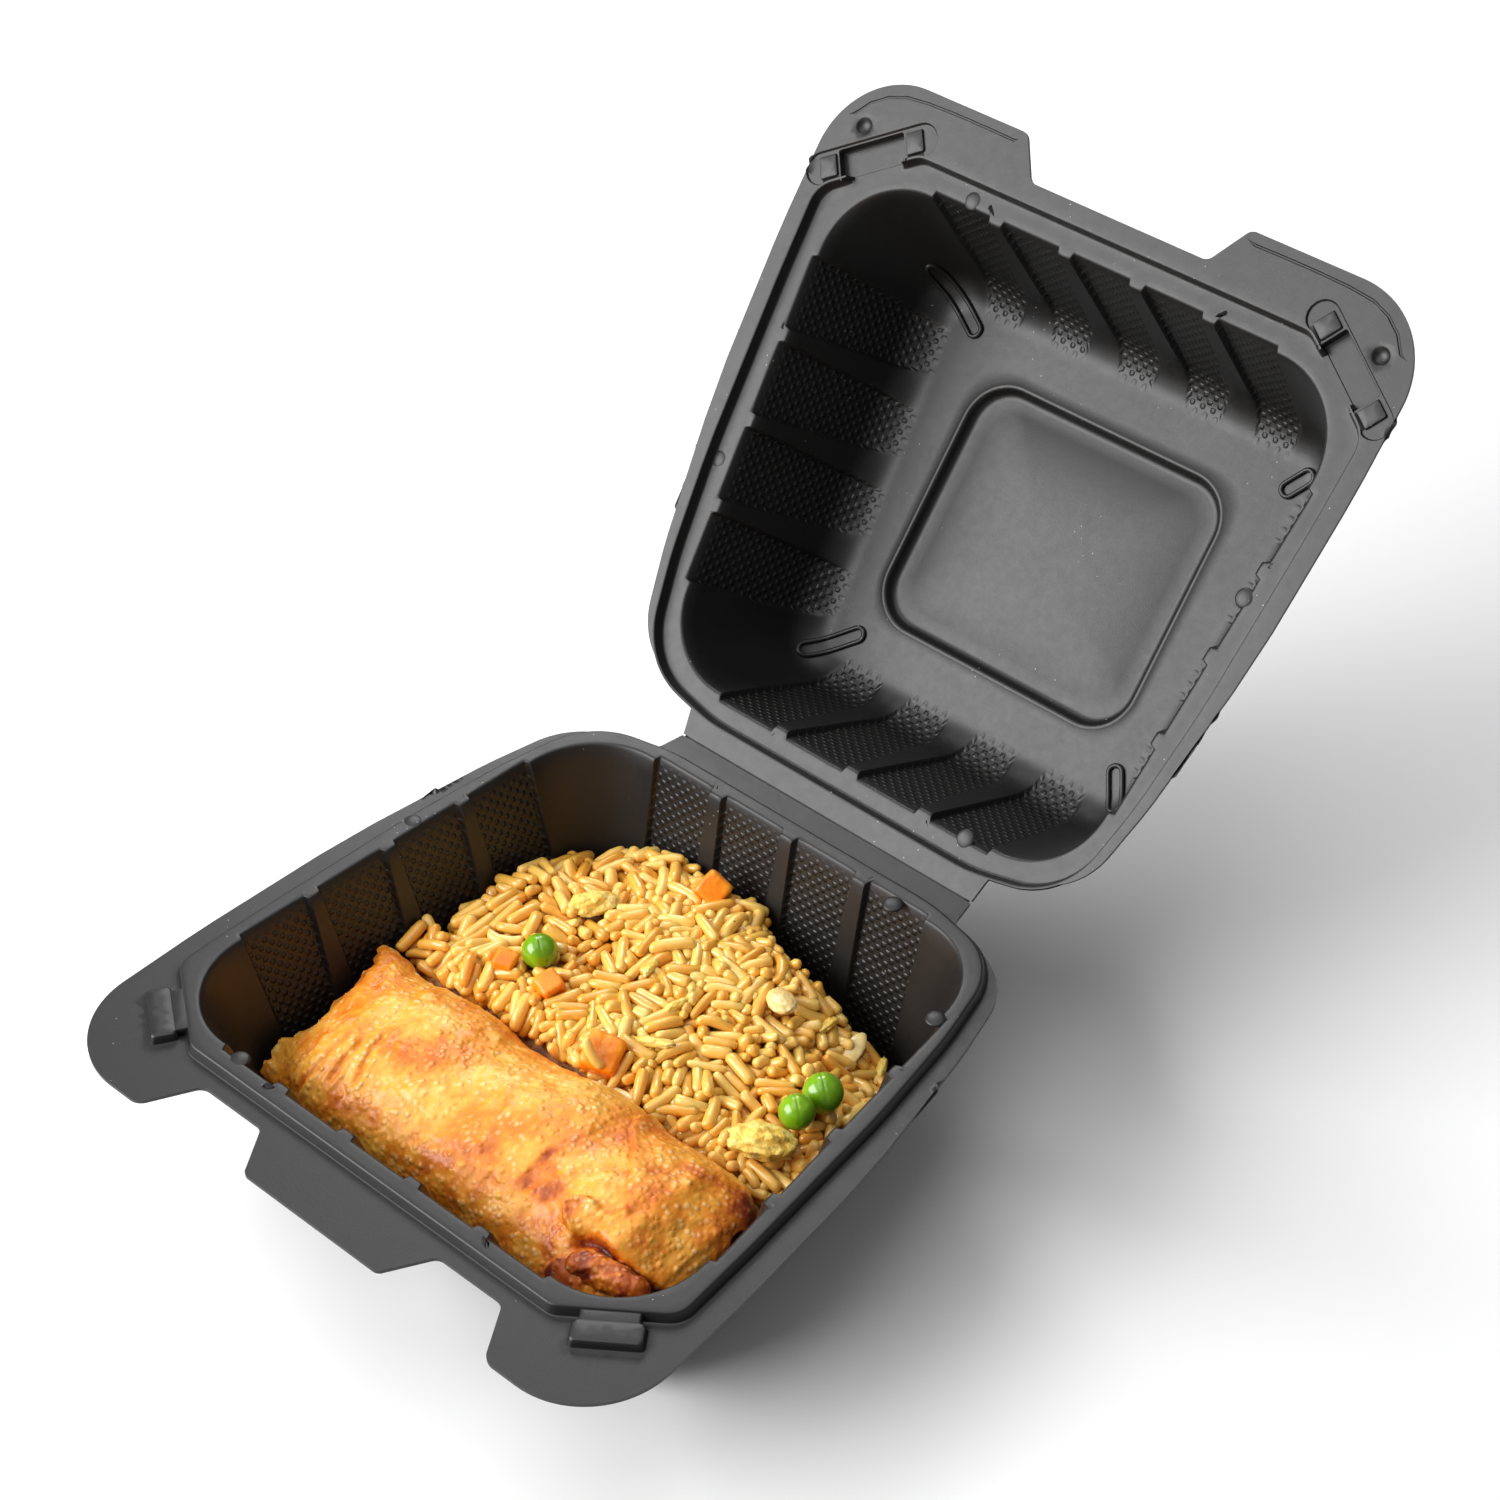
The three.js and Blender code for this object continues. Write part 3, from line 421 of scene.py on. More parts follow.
def basin_ring(inset, full, outward=0.0, fade=1.0):
    """One level ring of the basin's wall: points, place along the wall, and panel share."""
    share = min(1, max(0, inset / full))
    relief = mix(RELIEF_TOP, RELIEF_FLOOR, share)
    corners = [np.array(c[:2]) for c in grown(BASIN_CORNERS, outward - inset)]
    points, places, panels = [], [], []
    for index, (count, pitches, ribs, shifts) in enumerate(WALLS):
        a, b, c = corners[index], corners[(index + 1) % 4], corners[(index + 2) % 4]
        along, onward = unit(b - a), unit(c - b)
        inward = np.array([-along[1], along[0]])
        middle = (a + b) / 2
        turn = math.acos(along @ onward)
        base = BASIN_CORNERS[(index + 1) % 4][2]
        last = BASIN_CORNERS[index][2]
        radius = mix(base, BASIN_FLOOR_RADIUS, share) + outward
        before = mix(last, BASIN_FLOOR_RADIUS, share) + outward
        turn_before = math.acos(unit(a - corners[index - 1]) @ along)
        reach = np.linalg.norm(b - a) / 2
        ends = (-reach + before * math.tan(turn_before / 2), reach - radius * math.tan(turn / 2))
        pitch, rib, shift = (mix(*pair, share) for pair in (pitches, ribs, shifts))
        half, edge = (pitch - rib) / 2, RIB_EDGE * (1 + 0.5 * share)
        knots = []
        for panel in range(count):
            spot = (panel - (count - 1) / 2) * pitch + shift
            start = max(spot - half, ends[0] + edge / 2 + PANEL_TO_CORNER)
            finish = min(spot + half, ends[1] - edge / 2 - PANEL_TO_CORNER)
            middle_of, reach_of = (start + finish) / 2, (finish - start - edge) / 2
            knots += [(start + edge * f, smooth(0.5 - f)) for f in EDGE_STEPS]
            knots += [(middle_of + reach_of * f, 0) for f in (-0.66, -0.33, 0, 0.33, 0.66)]
            knots += [(finish + edge * f, smooth(0.5 + f)) for f in EDGE_STEPS]
            if panel < count - 1:
                gap = pitch - 2 * half - edge
                knots += [(finish + edge / 2 + gap * f, 1) for f in (0.33, 0.67)]
        first, final = knots[0][0], knots[-1][0]
        knots = [(mix(ends[0], first, f), 1) for f in (0.35, 0.7)] + knots
        knots += [(mix(final, ends[1], f), 1) for f in (0.3, 0.65)]
        for place, raised in knots:
            points.append(middle + along * place + inward * (mix(1, raised, fade) * relief))
            places.append(place)
            panels.append(1 - raised)
        centre = b - along * radius * math.tan(turn / 2) + inward * radius
        steps = 36 if index in (0, 3) else 28
        for step in range(steps + 1):
            arm = inward * (relief - radius)
            t = turn * step / steps
            cos, sin = math.cos(t), math.sin(t)
            points.append(centre + np.array([cos * arm[0] - sin * arm[1], sin * arm[0] + cos * arm[1]]))
            places.append(ends[1] + radius * t)
            panels.append(0)
    return np.array(points), np.array(places), np.array(panels)


def shell_rings(floor_depth, draft, opening_z, panel_depth, rim, step_height, step_spread, pillow):
    """Rings from the flange's inner edge over the rim or ledge, down the wall and over the floor."""
    lean = math.radians(draft)
    straight = floor_depth - FILLET * (1 - math.sin(lean))
    full = straight * math.tan(lean) + FILLET * math.cos(lean)
    base, places, _ = basin_ring(0, full, fade=0.0)
    turns = np.unwrap(np.arctan2(base[:, 1], base[:, 0]))
    turns = np.maximum.accumulate(turns)
    rings = []

    def add(points, z, place=None, rise=0.0, panel=None):
        count = len(points)
        level = np.full(count, float(z)) if np.ndim(z) == 0 else z
        rings.append((np.column_stack([points, level]), places if place is None else place,
                      np.full(count, rise), np.zeros(count) if panel is None else panel))

    foot = opening_z - step_height
    up = np.sign(step_height)
    height = abs(step_height)
    # The step between flange and rim, rounded at both ends
    outer = [(0.55, 0), (0.2, 0.03), (0.05, 0.12), (0, 0.3)]
    wall_share = [0.3, 0.72]
    for out, rise in outer:
        spread = step_spread + out
        add(along_rays(rounded(grown(rim, spread)), turns), foot + up * rise)
    for share in wall_share:
        spread = step_spread - RIM_SLOPE * share
        add(along_rays(rounded(grown(rim, spread)), turns), foot + up * mix(0.3, height - 0.4, share))
    for back, drop in ((0.0, 0.35), (0.12, 0.13), (0.35, 0.03), (0.6, 0)):
        spread = step_spread - RIM_SLOPE - back
        add(along_rays(rounded(grown(rim, spread)), turns), foot + up * (height - drop))
    ledge = rings[-1][0][:, :2]
    edge = basin_ring(0, full, outward=0.9)[0]
    for f in (0.35, 0.7):
        add(mix(ledge, edge, f), opening_z)
    for outward, drop in ((0.9, 0), (0.5, 0.05), (0.2, 0.2), (0.05, 0.45)):
        ring, place, panel = basin_ring(0, full, outward=outward)
        add(ring, opening_z - drop, place)
    for k in range(1, 13):
        depth = mix(1.0, straight, (k - 1) / 11)
        inset = depth * math.tan(lean)
        ring, place, panel = basin_ring(inset, full)
        inner = smooth((depth - 1.2) / 1.6)
        add(ring, opening_z - depth, place, depth / math.cos(lean), panel * inner)
    slope = straight / math.cos(lean)
    for k in range(1, 15):
        angle = mix(math.pi / 2 - lean, 0, k / 14)
        inset = full - FILLET * math.sin(angle)
        depth = floor_depth - FILLET * (1 - math.cos(angle))
        fade = 1 - smooth((k - 11.5) / 2.5)
        ring, place, panel = basin_ring(inset, full, fade=fade)
        travelled = slope + FILLET * (math.pi / 2 - lean - angle)
        add(ring, opening_z - depth, place, travelled, panel * (1 - smooth((k - 11) / 3)))
    floor = rings[-1][0][:, :2]
    floor_turns = np.maximum.accumulate(np.unwrap(np.arctan2(floor[:, 1], floor[:, 0])))
    half_x, half_y = PANEL_HALF
    near_y, far_y = PANEL_CENTRE_Y - half_y, PANEL_CENTRE_Y + half_y
    square = [(-half_x, near_y, PANEL_RADIUS), (half_x, near_y, PANEL_RADIUS),
              (half_x, far_y, PANEL_RADIUS), (-half_x, far_y, PANEL_RADIUS)]
    lip = along_rays(rounded(grown(square, 1.5), 4), floor_turns)
    for f in (0.12, 0.3, 0.55, 0.8):
        add(mix(floor, lip, f), opening_z - floor_depth)
    for out, drop in ((1.5, 0), (1.0, -0.22), (0.5, -0.3), (0.1, -0.12), (-0.2, 0.2), (-0.5, 0.55),
                      (-0.9, 0.82), (-1.4, 0.96), (-2.2, 1.0)):
        ring = along_rays(rounded(grown(square, out), 4), floor_turns)
        add(ring, opening_z - floor_depth - (drop * panel_depth if drop > 0 else drop))
    rest = rings[-1][0][:, :2]
    middle = np.array([0, PANEL_CENTRE_Y])
    for f in (0.9, 0.78, 0.64, 0.5, 0.36, 0.22, 0.1, 0.03):
        add(middle + (rest - middle) * f, opening_z - floor_depth - panel_depth + pillow * (1 - f ** 3))
    return rings


def ribbed_shell(name, flange, rings, flange_z, features, to_world=None, pressed=()):
    """The whole sheet: rings joined to a flat flange with raised and sunken features."""
    count = len(rings[0][0])
    vertices = np.concatenate([r[0] for r in rings])
    extras = [np.concatenate([r[k] for r in rings]) for k in (1, 2, 3)]
    faces = tube_faces(len(rings), count) + end_faces(len(rings), count)[1:]
    outline = rounded(mirrored(flange), 4, 1.6)
    hole = rings[0][0][:, :2]
    loops = [(outline, flange_z), (hole, None)] + features
    low, high = outline.min(0), outline.max(0)
    grid = np.stack(np.meshgrid(np.arange(low[0], high[0], 1.9), np.arange(low[1], high[1], 1.9)), -1)
    grid = grid.reshape(-1, 2)
    grid = grid[inside(grid, outline) & ~inside(grid, hole)]
    level = np.full(len(grid), flange_z)
    for loop, z in loops:
        near = np.linalg.norm(grid[:, None] - loop[None], axis=2).min(1) < 0.75
        grid, level = grid[~near], level[~near]
    for loop, z in features:
        level[inside(grid, loop)] = z
    points, edges, heights = [], [], []
    for loop, z in loops:
        start = len(points)
        points += loop.tolist()
        heights += [flange_z if z is None else z] * len(loop)
        edges += [(start + i, start + (i + 1) % len(loop)) for i in range(len(loop))]
    points += grid.tolist()
    heights += level.tolist()
    made = delaunay_2d_cdt(points, edges, [], 0, 1e-5)
    flat = np.array([tuple(p) for p in made[0]])
    tall = np.array([heights[ids[0]] if ids else flange_z for ids in made[3]])
    triangles = np.array([f for f in made[2] if len(f) == 3])
    centre = flat[triangles].mean(1)
    keep = inside(centre, outline) & ~inside(centre, hole)
    offset = len(vertices)
    vertices = np.concatenate([vertices, np.column_stack([flat, tall])])
    faces += (triangles[keep] + offset).tolist()
    extras = [np.concatenate([e, np.zeros(len(flat))]) for e in extras]
    used = np.zeros(len(vertices), bool)
    for face in faces:
        used[list(face)] = True
    order = np.cumsum(used) - 1
    faces = [tuple(order[list(face)]) for face in faces]
    vertices = vertices[used]
    for recess, z in pressed:
        vertices[inside(vertices, recess) & (vertices[:, 2] > z), 2] = z
    if to_world:
        faces = [face[::-1] for face in faces]
        vertices = to_world(vertices)
    shell = mesh_object(name, vertices, faces, plastic)
    for key, values in zip(("wall_along", "wall_rise", "panel"), extras):
        add_layer(shell, key, values[used])
    shape = bmesh.new()
    shape.from_mesh(shell.data)
    bmesh.ops.remove_doubles(shape, verts=shape.verts, dist=2e-5)
    bmesh.ops.dissolve_degenerate(shape, edges=shape.edges, dist=1e-5)
    shape.to_mesh(shell.data)
    shape.free()
    wall = shell.modifiers.new("sheet thickness", "SOLIDIFY")
    wall.thickness = SHEET * MM
    wall.offset = -1
    settled(shell)
    sharpen(shell.data, 38)
    return shell


def steps_of(centre, length, width, radius, side, base, steps, soft=False):
    """A latch outline drawn in by each inset, at its height over the base."""
    loops = []
    for inset, z in steps:
        corner = radius - inset if soft else radius
        outline = box_outline(centre, LATCH_TURN, length - 2 * inset, width - 2 * inset, corner, side)
        loops.append((outline, base + z))
    return loops


def box_outline(centre, turn, length, width, radius, side=1):
    """A rounded rectangle, turned, as a closed outline; side -1 mirrors it left and right."""
    corners = [(-length / 2, -width / 2, radius), (length / 2, -width / 2, radius),
               (length / 2, width / 2, radius), (-length / 2, width / 2, radius)]
    flat = rounded(corners, 18, 1.5)
    c, s = math.cos(math.radians(turn)), math.sin(math.radians(turn))
    points = flat @ np.array([[c, s], [-s, c]]) + np.array(centre)
    return points if side > 0 else (points * [-1, 1])[::-1]


def latch_features(side):
    """The tray's latch block: a low box on the flange with rounded edges."""
    turn = math.radians(LATCH_TURN)
    across = np.array([-math.sin(turn), math.cos(turn)])
    steps = ((-0.45, 0.0), (-0.15, 0.12), (0.0, 0.5), (0.12, 1.55), (0.3, 1.86), (0.7, 2.0))
    return steps_of(np.array(LATCH_CENTRE) - across * 0.1, 14, 5.4, 0.9, side, FLANGE_TOP, steps)


def dome(centre, radius, height, base, side=1):
    angles = np.linspace(0, 2 * math.pi, 25)[:-1]
    circle = np.stack([np.cos(angles), np.sin(angles)], 1)
    spot = np.array([centre[0] * side, centre[1]])
    loops = []
    for share, lift in ((1.12, 0), (1.0, 0.12), (0.86, 0.5), (0.66, 0.78), (0.42, 0.93), (0.18, 1.0)):
        loops.append((spot + circle * radius * share, base + height * lift))
    return loops


def ridge(path, width, height, base):
    """A thin raised line along an open path: its border at the base and its crown."""
    path = np.array(path, float)
    step = units(np.gradient(path, axis=0))
    side = np.column_stack([-step[:, 1], step[:, 0]])
    loops = []
    for share, lift in ((1.0, 0.0), (0.4, 1.0)):
        left, right = path + side * width / 2 * share, path - side * width / 2 * share
        loops.append((np.vstack([left, right[::-1]]), base + height * lift))
    return loops


plastic = black_polypropylene()
rim = mirrored(RIM_CORNERS)


def tab_crease(side):
    """The line pressed along a corner tab, a little inside its edge."""
    path = [(31, -74.6), (38, -74.7), (46, -74.7), (54, -74.5), (60, -73.9), (64.5, -72.3), (68, -69.8),
            (70.6, -66.4)]
    points = np.array(path)
    return points if side > 0 else (points * [-1, 1])[::-1]


def moulded_marks(name, parts, node, body):
    """Small raised marks of the sheet, each a closed form sunk into it."""
    marks = mesh_object(name, *merged(parts), plastic)
    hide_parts(node)
    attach(marks, body)


def half_moon(x, y, z):
    """A shallow disc on the edge of the opening."""
    points, faces = ball(1.0, 14, 24)
    return points * [2.2, 2.2, 0.6] + [x, y, z - 0.34], faces


def latch_neck(side):
    """The raised strip from the rim to the latch, with its two curled corners."""
    turn = math.radians(LATCH_TURN)
    inward = np.array([-math.sin(turn), math.cos(turn)])
    centre = np.array(LATCH_CENTRE) + inward * 4.1
    outline = box_outline(centre, LATCH_TURN, 11.5, 4.9, 0.6, side)
    middle = outline.mean(0)
    loops = []
    for share, z in ((1, -0.5), (1, 1.5), (0.97, 1.72), (0.92, 1.8)):
        level = np.full(len(outline), FLANGE_TOP + z)
        loops.append(np.column_stack([middle + (outline - middle) * share, level]))
    size = len(loops), len(outline)
    return np.concatenate(loops), tube_faces(*size) + end_faces(*size)


def tray_marks():
    parts = [half_moon(x, y, RIM_TOP) for x, y in TRAY_MOONS] + [latch_neck(side) for side in (-1, 1)]
    moulded_marks("tray_marks", parts, "tray_shell", "tray")


def bead_loop(path, radius):
    """A closed round bead along a path."""
    count, sides = len(path), 10
    step = units(np.roll(path, -1, 0) - np.roll(path, 1, 0))
    side = units(np.cross([0, 0, 1.0], step))
    out = np.cross(step, side)
    angle = np.linspace(0, 2 * math.pi, sides, endpoint=False)
    ring = side[:, None] * np.cos(angle)[None, :, None] + out[:, None] * np.sin(angle)[None, :, None]
    points = (path[:, None] + ring * radius).reshape(-1, 3)
    faces = []
    for station in range(count):
        for k in range(sides):
            a, b = station * sides + k, station * sides + (k + 1) % sides
            c, d = (station + 1) % count * sides + (k + 1) % sides, (station + 1) % count * sides + k
            faces.append((a, d, c, b))
    return points, faces


def lid_marks(rings):
    """Half-moons on the lid's opening and the long beads in its four corners."""
    faces = tube_faces(len(rings), len(rings[0][0]))
    skin = BVHTree.FromPolygons(np.concatenate([ring[0] for ring in rings]).tolist(), faces)

    def on_skin(spot):
        return np.array(skin.ray_cast(Vector((*spot, 0)), Vector((0, 0, -1)))[0]) + [0, 0, 0.3]

    parts = []
    for x, v in LID_MOONS:
        points, faces = half_moon(x, HINGE_Y - v, -HINGE_GAP - LEDGE_DEPTH)
        parts.append((lid_to_world(points), [face[::-1] for face in faces]))
    for start, end in LID_BEADS:
        run = np.array(end) - np.array(start)
        middle = (np.array(start) + np.array(end)) / 2
        turn = -math.degrees(math.atan2(run[1], run[0]))
        outline = box_outline((middle[0], HINGE_Y - middle[1]), turn, np.linalg.norm(run), 3.2, 1.55)
        points, faces = bead_loop(np.array([on_skin(spot) for spot in outline]), 0.55)
        parts.append((lid_to_world(points), [face[::-1] for face in faces]))
    moulded_marks("lid_marks", parts, "lid_shell", "lid")


def make_tray():
    rings = shell_rings(RIM_TOP - FOOT_STEP - SHEET, TRAY_DRAFT, RIM_TOP, FOOT_STEP, rim,
                        RIM_TOP - FLANGE_TOP, RIM_SLOPE, 0.0)
    features = []
    for side in (-1, 1):
        features += latch_features(side)
    tray = ribbed_shell("tray_moulding", TRAY_FLANGE, rings, FLANGE_TOP, features)
    tray_marks()
    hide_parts("tray_shell")
    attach(tray, "tray")


def lid_to_world(points):
    """From the lid's own plan, as if it lay like the tray, to its open place."""
    x, v, w = points[:, 0], HINGE_Y - points[:, 1], points[:, 2]
    c, s = math.cos(LID_OPEN), math.sin(LID_OPEN)
    return np.column_stack([x, HINGE_Y - v * c - w * s, HINGE_Z + v * s - w * c])


def make_lid():
    base = -HINGE_GAP
    ledge = base - LEDGE_DEPTH
    rings = shell_rings(LID_FLOOR_DEPTH - LEDGE_DEPTH, LID_DRAFT, ledge, LID_PANEL_DEPTH, rim,
                        -LEDGE_DEPTH, GROOVE_CLEARANCE + RIM_SLOPE, 2.0)
    features = []
    turn = math.radians(LATCH_TURN)
    out = np.array([math.sin(turn), -math.cos(turn)])
    along = np.array([math.cos(turn), math.sin(turn)])
    for side in (-1, 1):
        centre = np.array(LATCH_CENTRE) + out * 0.35
        pocket = ((0, -0.5), (0.12, -0.7), (0.2, -2.4), (0.5, -2.7))
        features += steps_of(centre, 32.4, 7.6, 3.7, side, base, ((0, 0), (0.35, -0.5)), True)
        features += steps_of(centre - out * 0.15, 16.0, 6.6, 0.5, side, base, pocket)
        for end in (-1, 1):
            block = ((0, -0.5), (0.2, 0.05), (0.45, 0.15))
            features += steps_of(centre + along * end * 10.6, 4.4, 5.2, 0.4, side, base, block)
        features += dome((66.9, HINGE_Y - 134.0), 1.9, -1.1, base, side)
        features += ridge(tab_crease(side), 0.7, -0.25, base)
    neck_centre = np.array(LATCH_CENTRE) - out * 4.4
    recesses = [(box_outline(neck_centre, LATCH_TURN, 13, 6.6, 0.4, side), base - 2.5) for side in (-1, 1)]
    lid = ribbed_shell("lid_moulding", LID_FLANGE, rings, base, features, lid_to_world, recesses)
    lid_marks(rings)
    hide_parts("lid_shell")
    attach(lid, "lid")


make_tray()
make_lid()


# Egg roll

ROLL_LEFT, ROLL_RIGHT = -52.4, 51.4
ROLL_Y, ROLL_Z = -26.6, 17.55
ROLL_HALF_WIDTH, ROLL_HALF_HEIGHT = 21.3, 15.2
ROLL_RINGS, ROLL_SIDES = 330, 260
ROLL_BULGES = ((0.63, 0.1, 2.0), (0.385, 0.035, -0.7), (0.12, 0.05, -1.6))
ROLL_OPENING = math.radians(8)
ROLL_BACK_END, ROLL_EAR_TIP = (48.5, -9.5), (-55, -8)
ROLL_LIMIT_X, ROLL_LIMIT_Z = -55.6, 2.25

SEAM = [(22.0, -12.2), (23.6, -14.5), (27.7, -18.0), (31.3, -22.6), (34.2, -26.2), (38.0, -30.7)]
FLAP_EDGE = [(38.0, -30.7), (39.3, -32.6), (36.9, -35.4), (36.6, -38.9), (42.0, -39.2), (45.5, -38.8),
             (52, -37.4)]
FLAP = SEAM[:-1] + FLAP_EDGE + [(56, -37), (56, -2), (20, -2)]
TONGUE = [(26.6, -36.6), (28.4, -34.6), (30.8, -33.2), (33.2, -33.6), (36.2, -35.6), (36.6, -38.6),
          (33.4, -40.6), (29.5, -39.4)]
RIDGE = [(32.6, -33.9), (35.4, -35.0), (37.4, -34.0), (38.9, -31.4)]
GROOVE = [(34.8, -40.6), (37.4, -39.4), (42.0, -39.4), (45.5, -38.9), (49.4, -37.8), (52.5, -36.6)]
SCRAP = [(31.4, -46.8), (33.2, -44.2), (36.4, -43.4), (40.2, -45.0), (41.6, -47.6), (36, -49)]
PATCH = [(16.0, -29.0), (15.4, -33.2), (15.8, -38.2), (18.8, -39.6), (23.8, -38.6), (26.2, -36.6),
         (25.0, -33.0), (21.6, -31.4), (19.0, -31.2), (17.4, -28.4)]
PATCH_SPINE = [(17.1, -29.8), (16.9, -35.3), (18.0, -38.6)]
STREAK = [(17.2, -29.4), (18.0, -24.7), (18.4, -20.9)]
BAND = [(24.5, -30.4), (26.6, -27.6), (30.3, -25.2), (33.8, -22.4), (36.7, -18.7), (40.0, -14.8),
        (44, -12.0)]
LEFT_FOLDS = [[(-36.5, -33), (-37.4, -42.4), (-39.6, -46)], [(-33.2, -33), (-32.9, -42.4)],
              [(-31.0, -29), (-27.8, -40.2)], [(-41, -28), (-43, -38), (-45, -44)]]


def bumps(points, scale, seed=0.0, octaves=3):
    """Smooth noise at points in millimetres, from -1 to 1."""
    shift = Vector((seed, seed * 1.7, seed * 2.3))
    return np.array([noise.fractal(Vector(p) / scale + shift, 0.9, 2.0, octaves) for p in points])


def bubbles(points, scale, size, seed=0.0):
    """Round bubbles scattered over points, 1 at the middle of each."""
    shift = Vector((seed, seed, seed))
    gap = np.array([noise.voronoi(Vector(p) / scale + shift)[0][0] for p in points])
    return smooth(1 - gap / size)


def near_line(points, path):
    """Distance in plan from a broken line."""
    best = np.full(len(points), 1e9)
    path = np.array(path, float)
    for a, b in zip(path, path[1:]):
        along = np.clip(((points[:, :2] - a) @ (b - a)) / ((b - a) @ (b - a)), 0, 1)
        best = np.minimum(best, np.linalg.norm(points[:, :2] - a - along[:, None] * (b - a), axis=1))
    return best


def depth_inside(points, corners):
    """How far points lie inside a closed outline in plan, negative outside it."""
    gap = near_line(points, list(corners) + [corners[0]])
    return np.where(inside(points[:, :2], np.array(corners, float)), gap, -gap)


def roll_form(share, angle):
    """The roll's smooth surface at shares of its length and angles round it."""
    left = 1 - smooth(share / 0.16)
    right = 1 - smooth((1 - share) / 0.1)
    thin = 1 - 0.6 * (1 - smooth(share / 0.03))
    end = np.clip((1 - share) * (ROLL_RIGHT - ROLL_LEFT) / 4.5, 0, 1)
    rounding = 0.78 + 0.22 * np.sqrt(1 - (1 - end) ** 2)
    half_width = (ROLL_HALF_WIDTH * (1 - 0.1 * right - 0.12 * left) + 0.5 * np.sin(share * 9)) * rounding
    half_height = ROLL_HALF_HEIGHT * (1 - 0.62 * left - 0.4 * right) * thin
    half_height = (half_height + 0.3 * np.sin(share * 23 + 1)) * rounding
    c, s = np.cos(angle), np.sin(angle)
    across = np.sign(c) * np.abs(c) ** 0.8
    up = np.sign(s) * np.abs(s) ** 0.9
    ear = 2.6 * smooth((across - 0.45) / 0.55)
    bulge = sum(size * bell(share - at, over) for at, over, size in ROLL_BULGES)
    shoulder = bulge * np.maximum(0, across * 0.78 + up * 0.62)
    x = mix(ROLL_LEFT, ROLL_RIGHT, share) - ear * left
    y = ROLL_Y + 1.4 * left + across * half_width + 0.78 * shoulder
    twist = left * (2.5 + 4.5 * across) + right * 0.8
    return np.stack([x, y, ROLL_Z + up * half_height + twist + 0.62 * shoulder], -1)


def surface_normals(grid):
    """Outward normals of a closed tube given as rings by sides."""
    around = np.roll(grid, -1, 1) - np.roll(grid, 1, 1)
    onward = np.gradient(grid, axis=0)
    normal = np.cross(around, onward)
    return normal / np.maximum(np.linalg.norm(normal, axis=-1, keepdims=True), 1e-9)


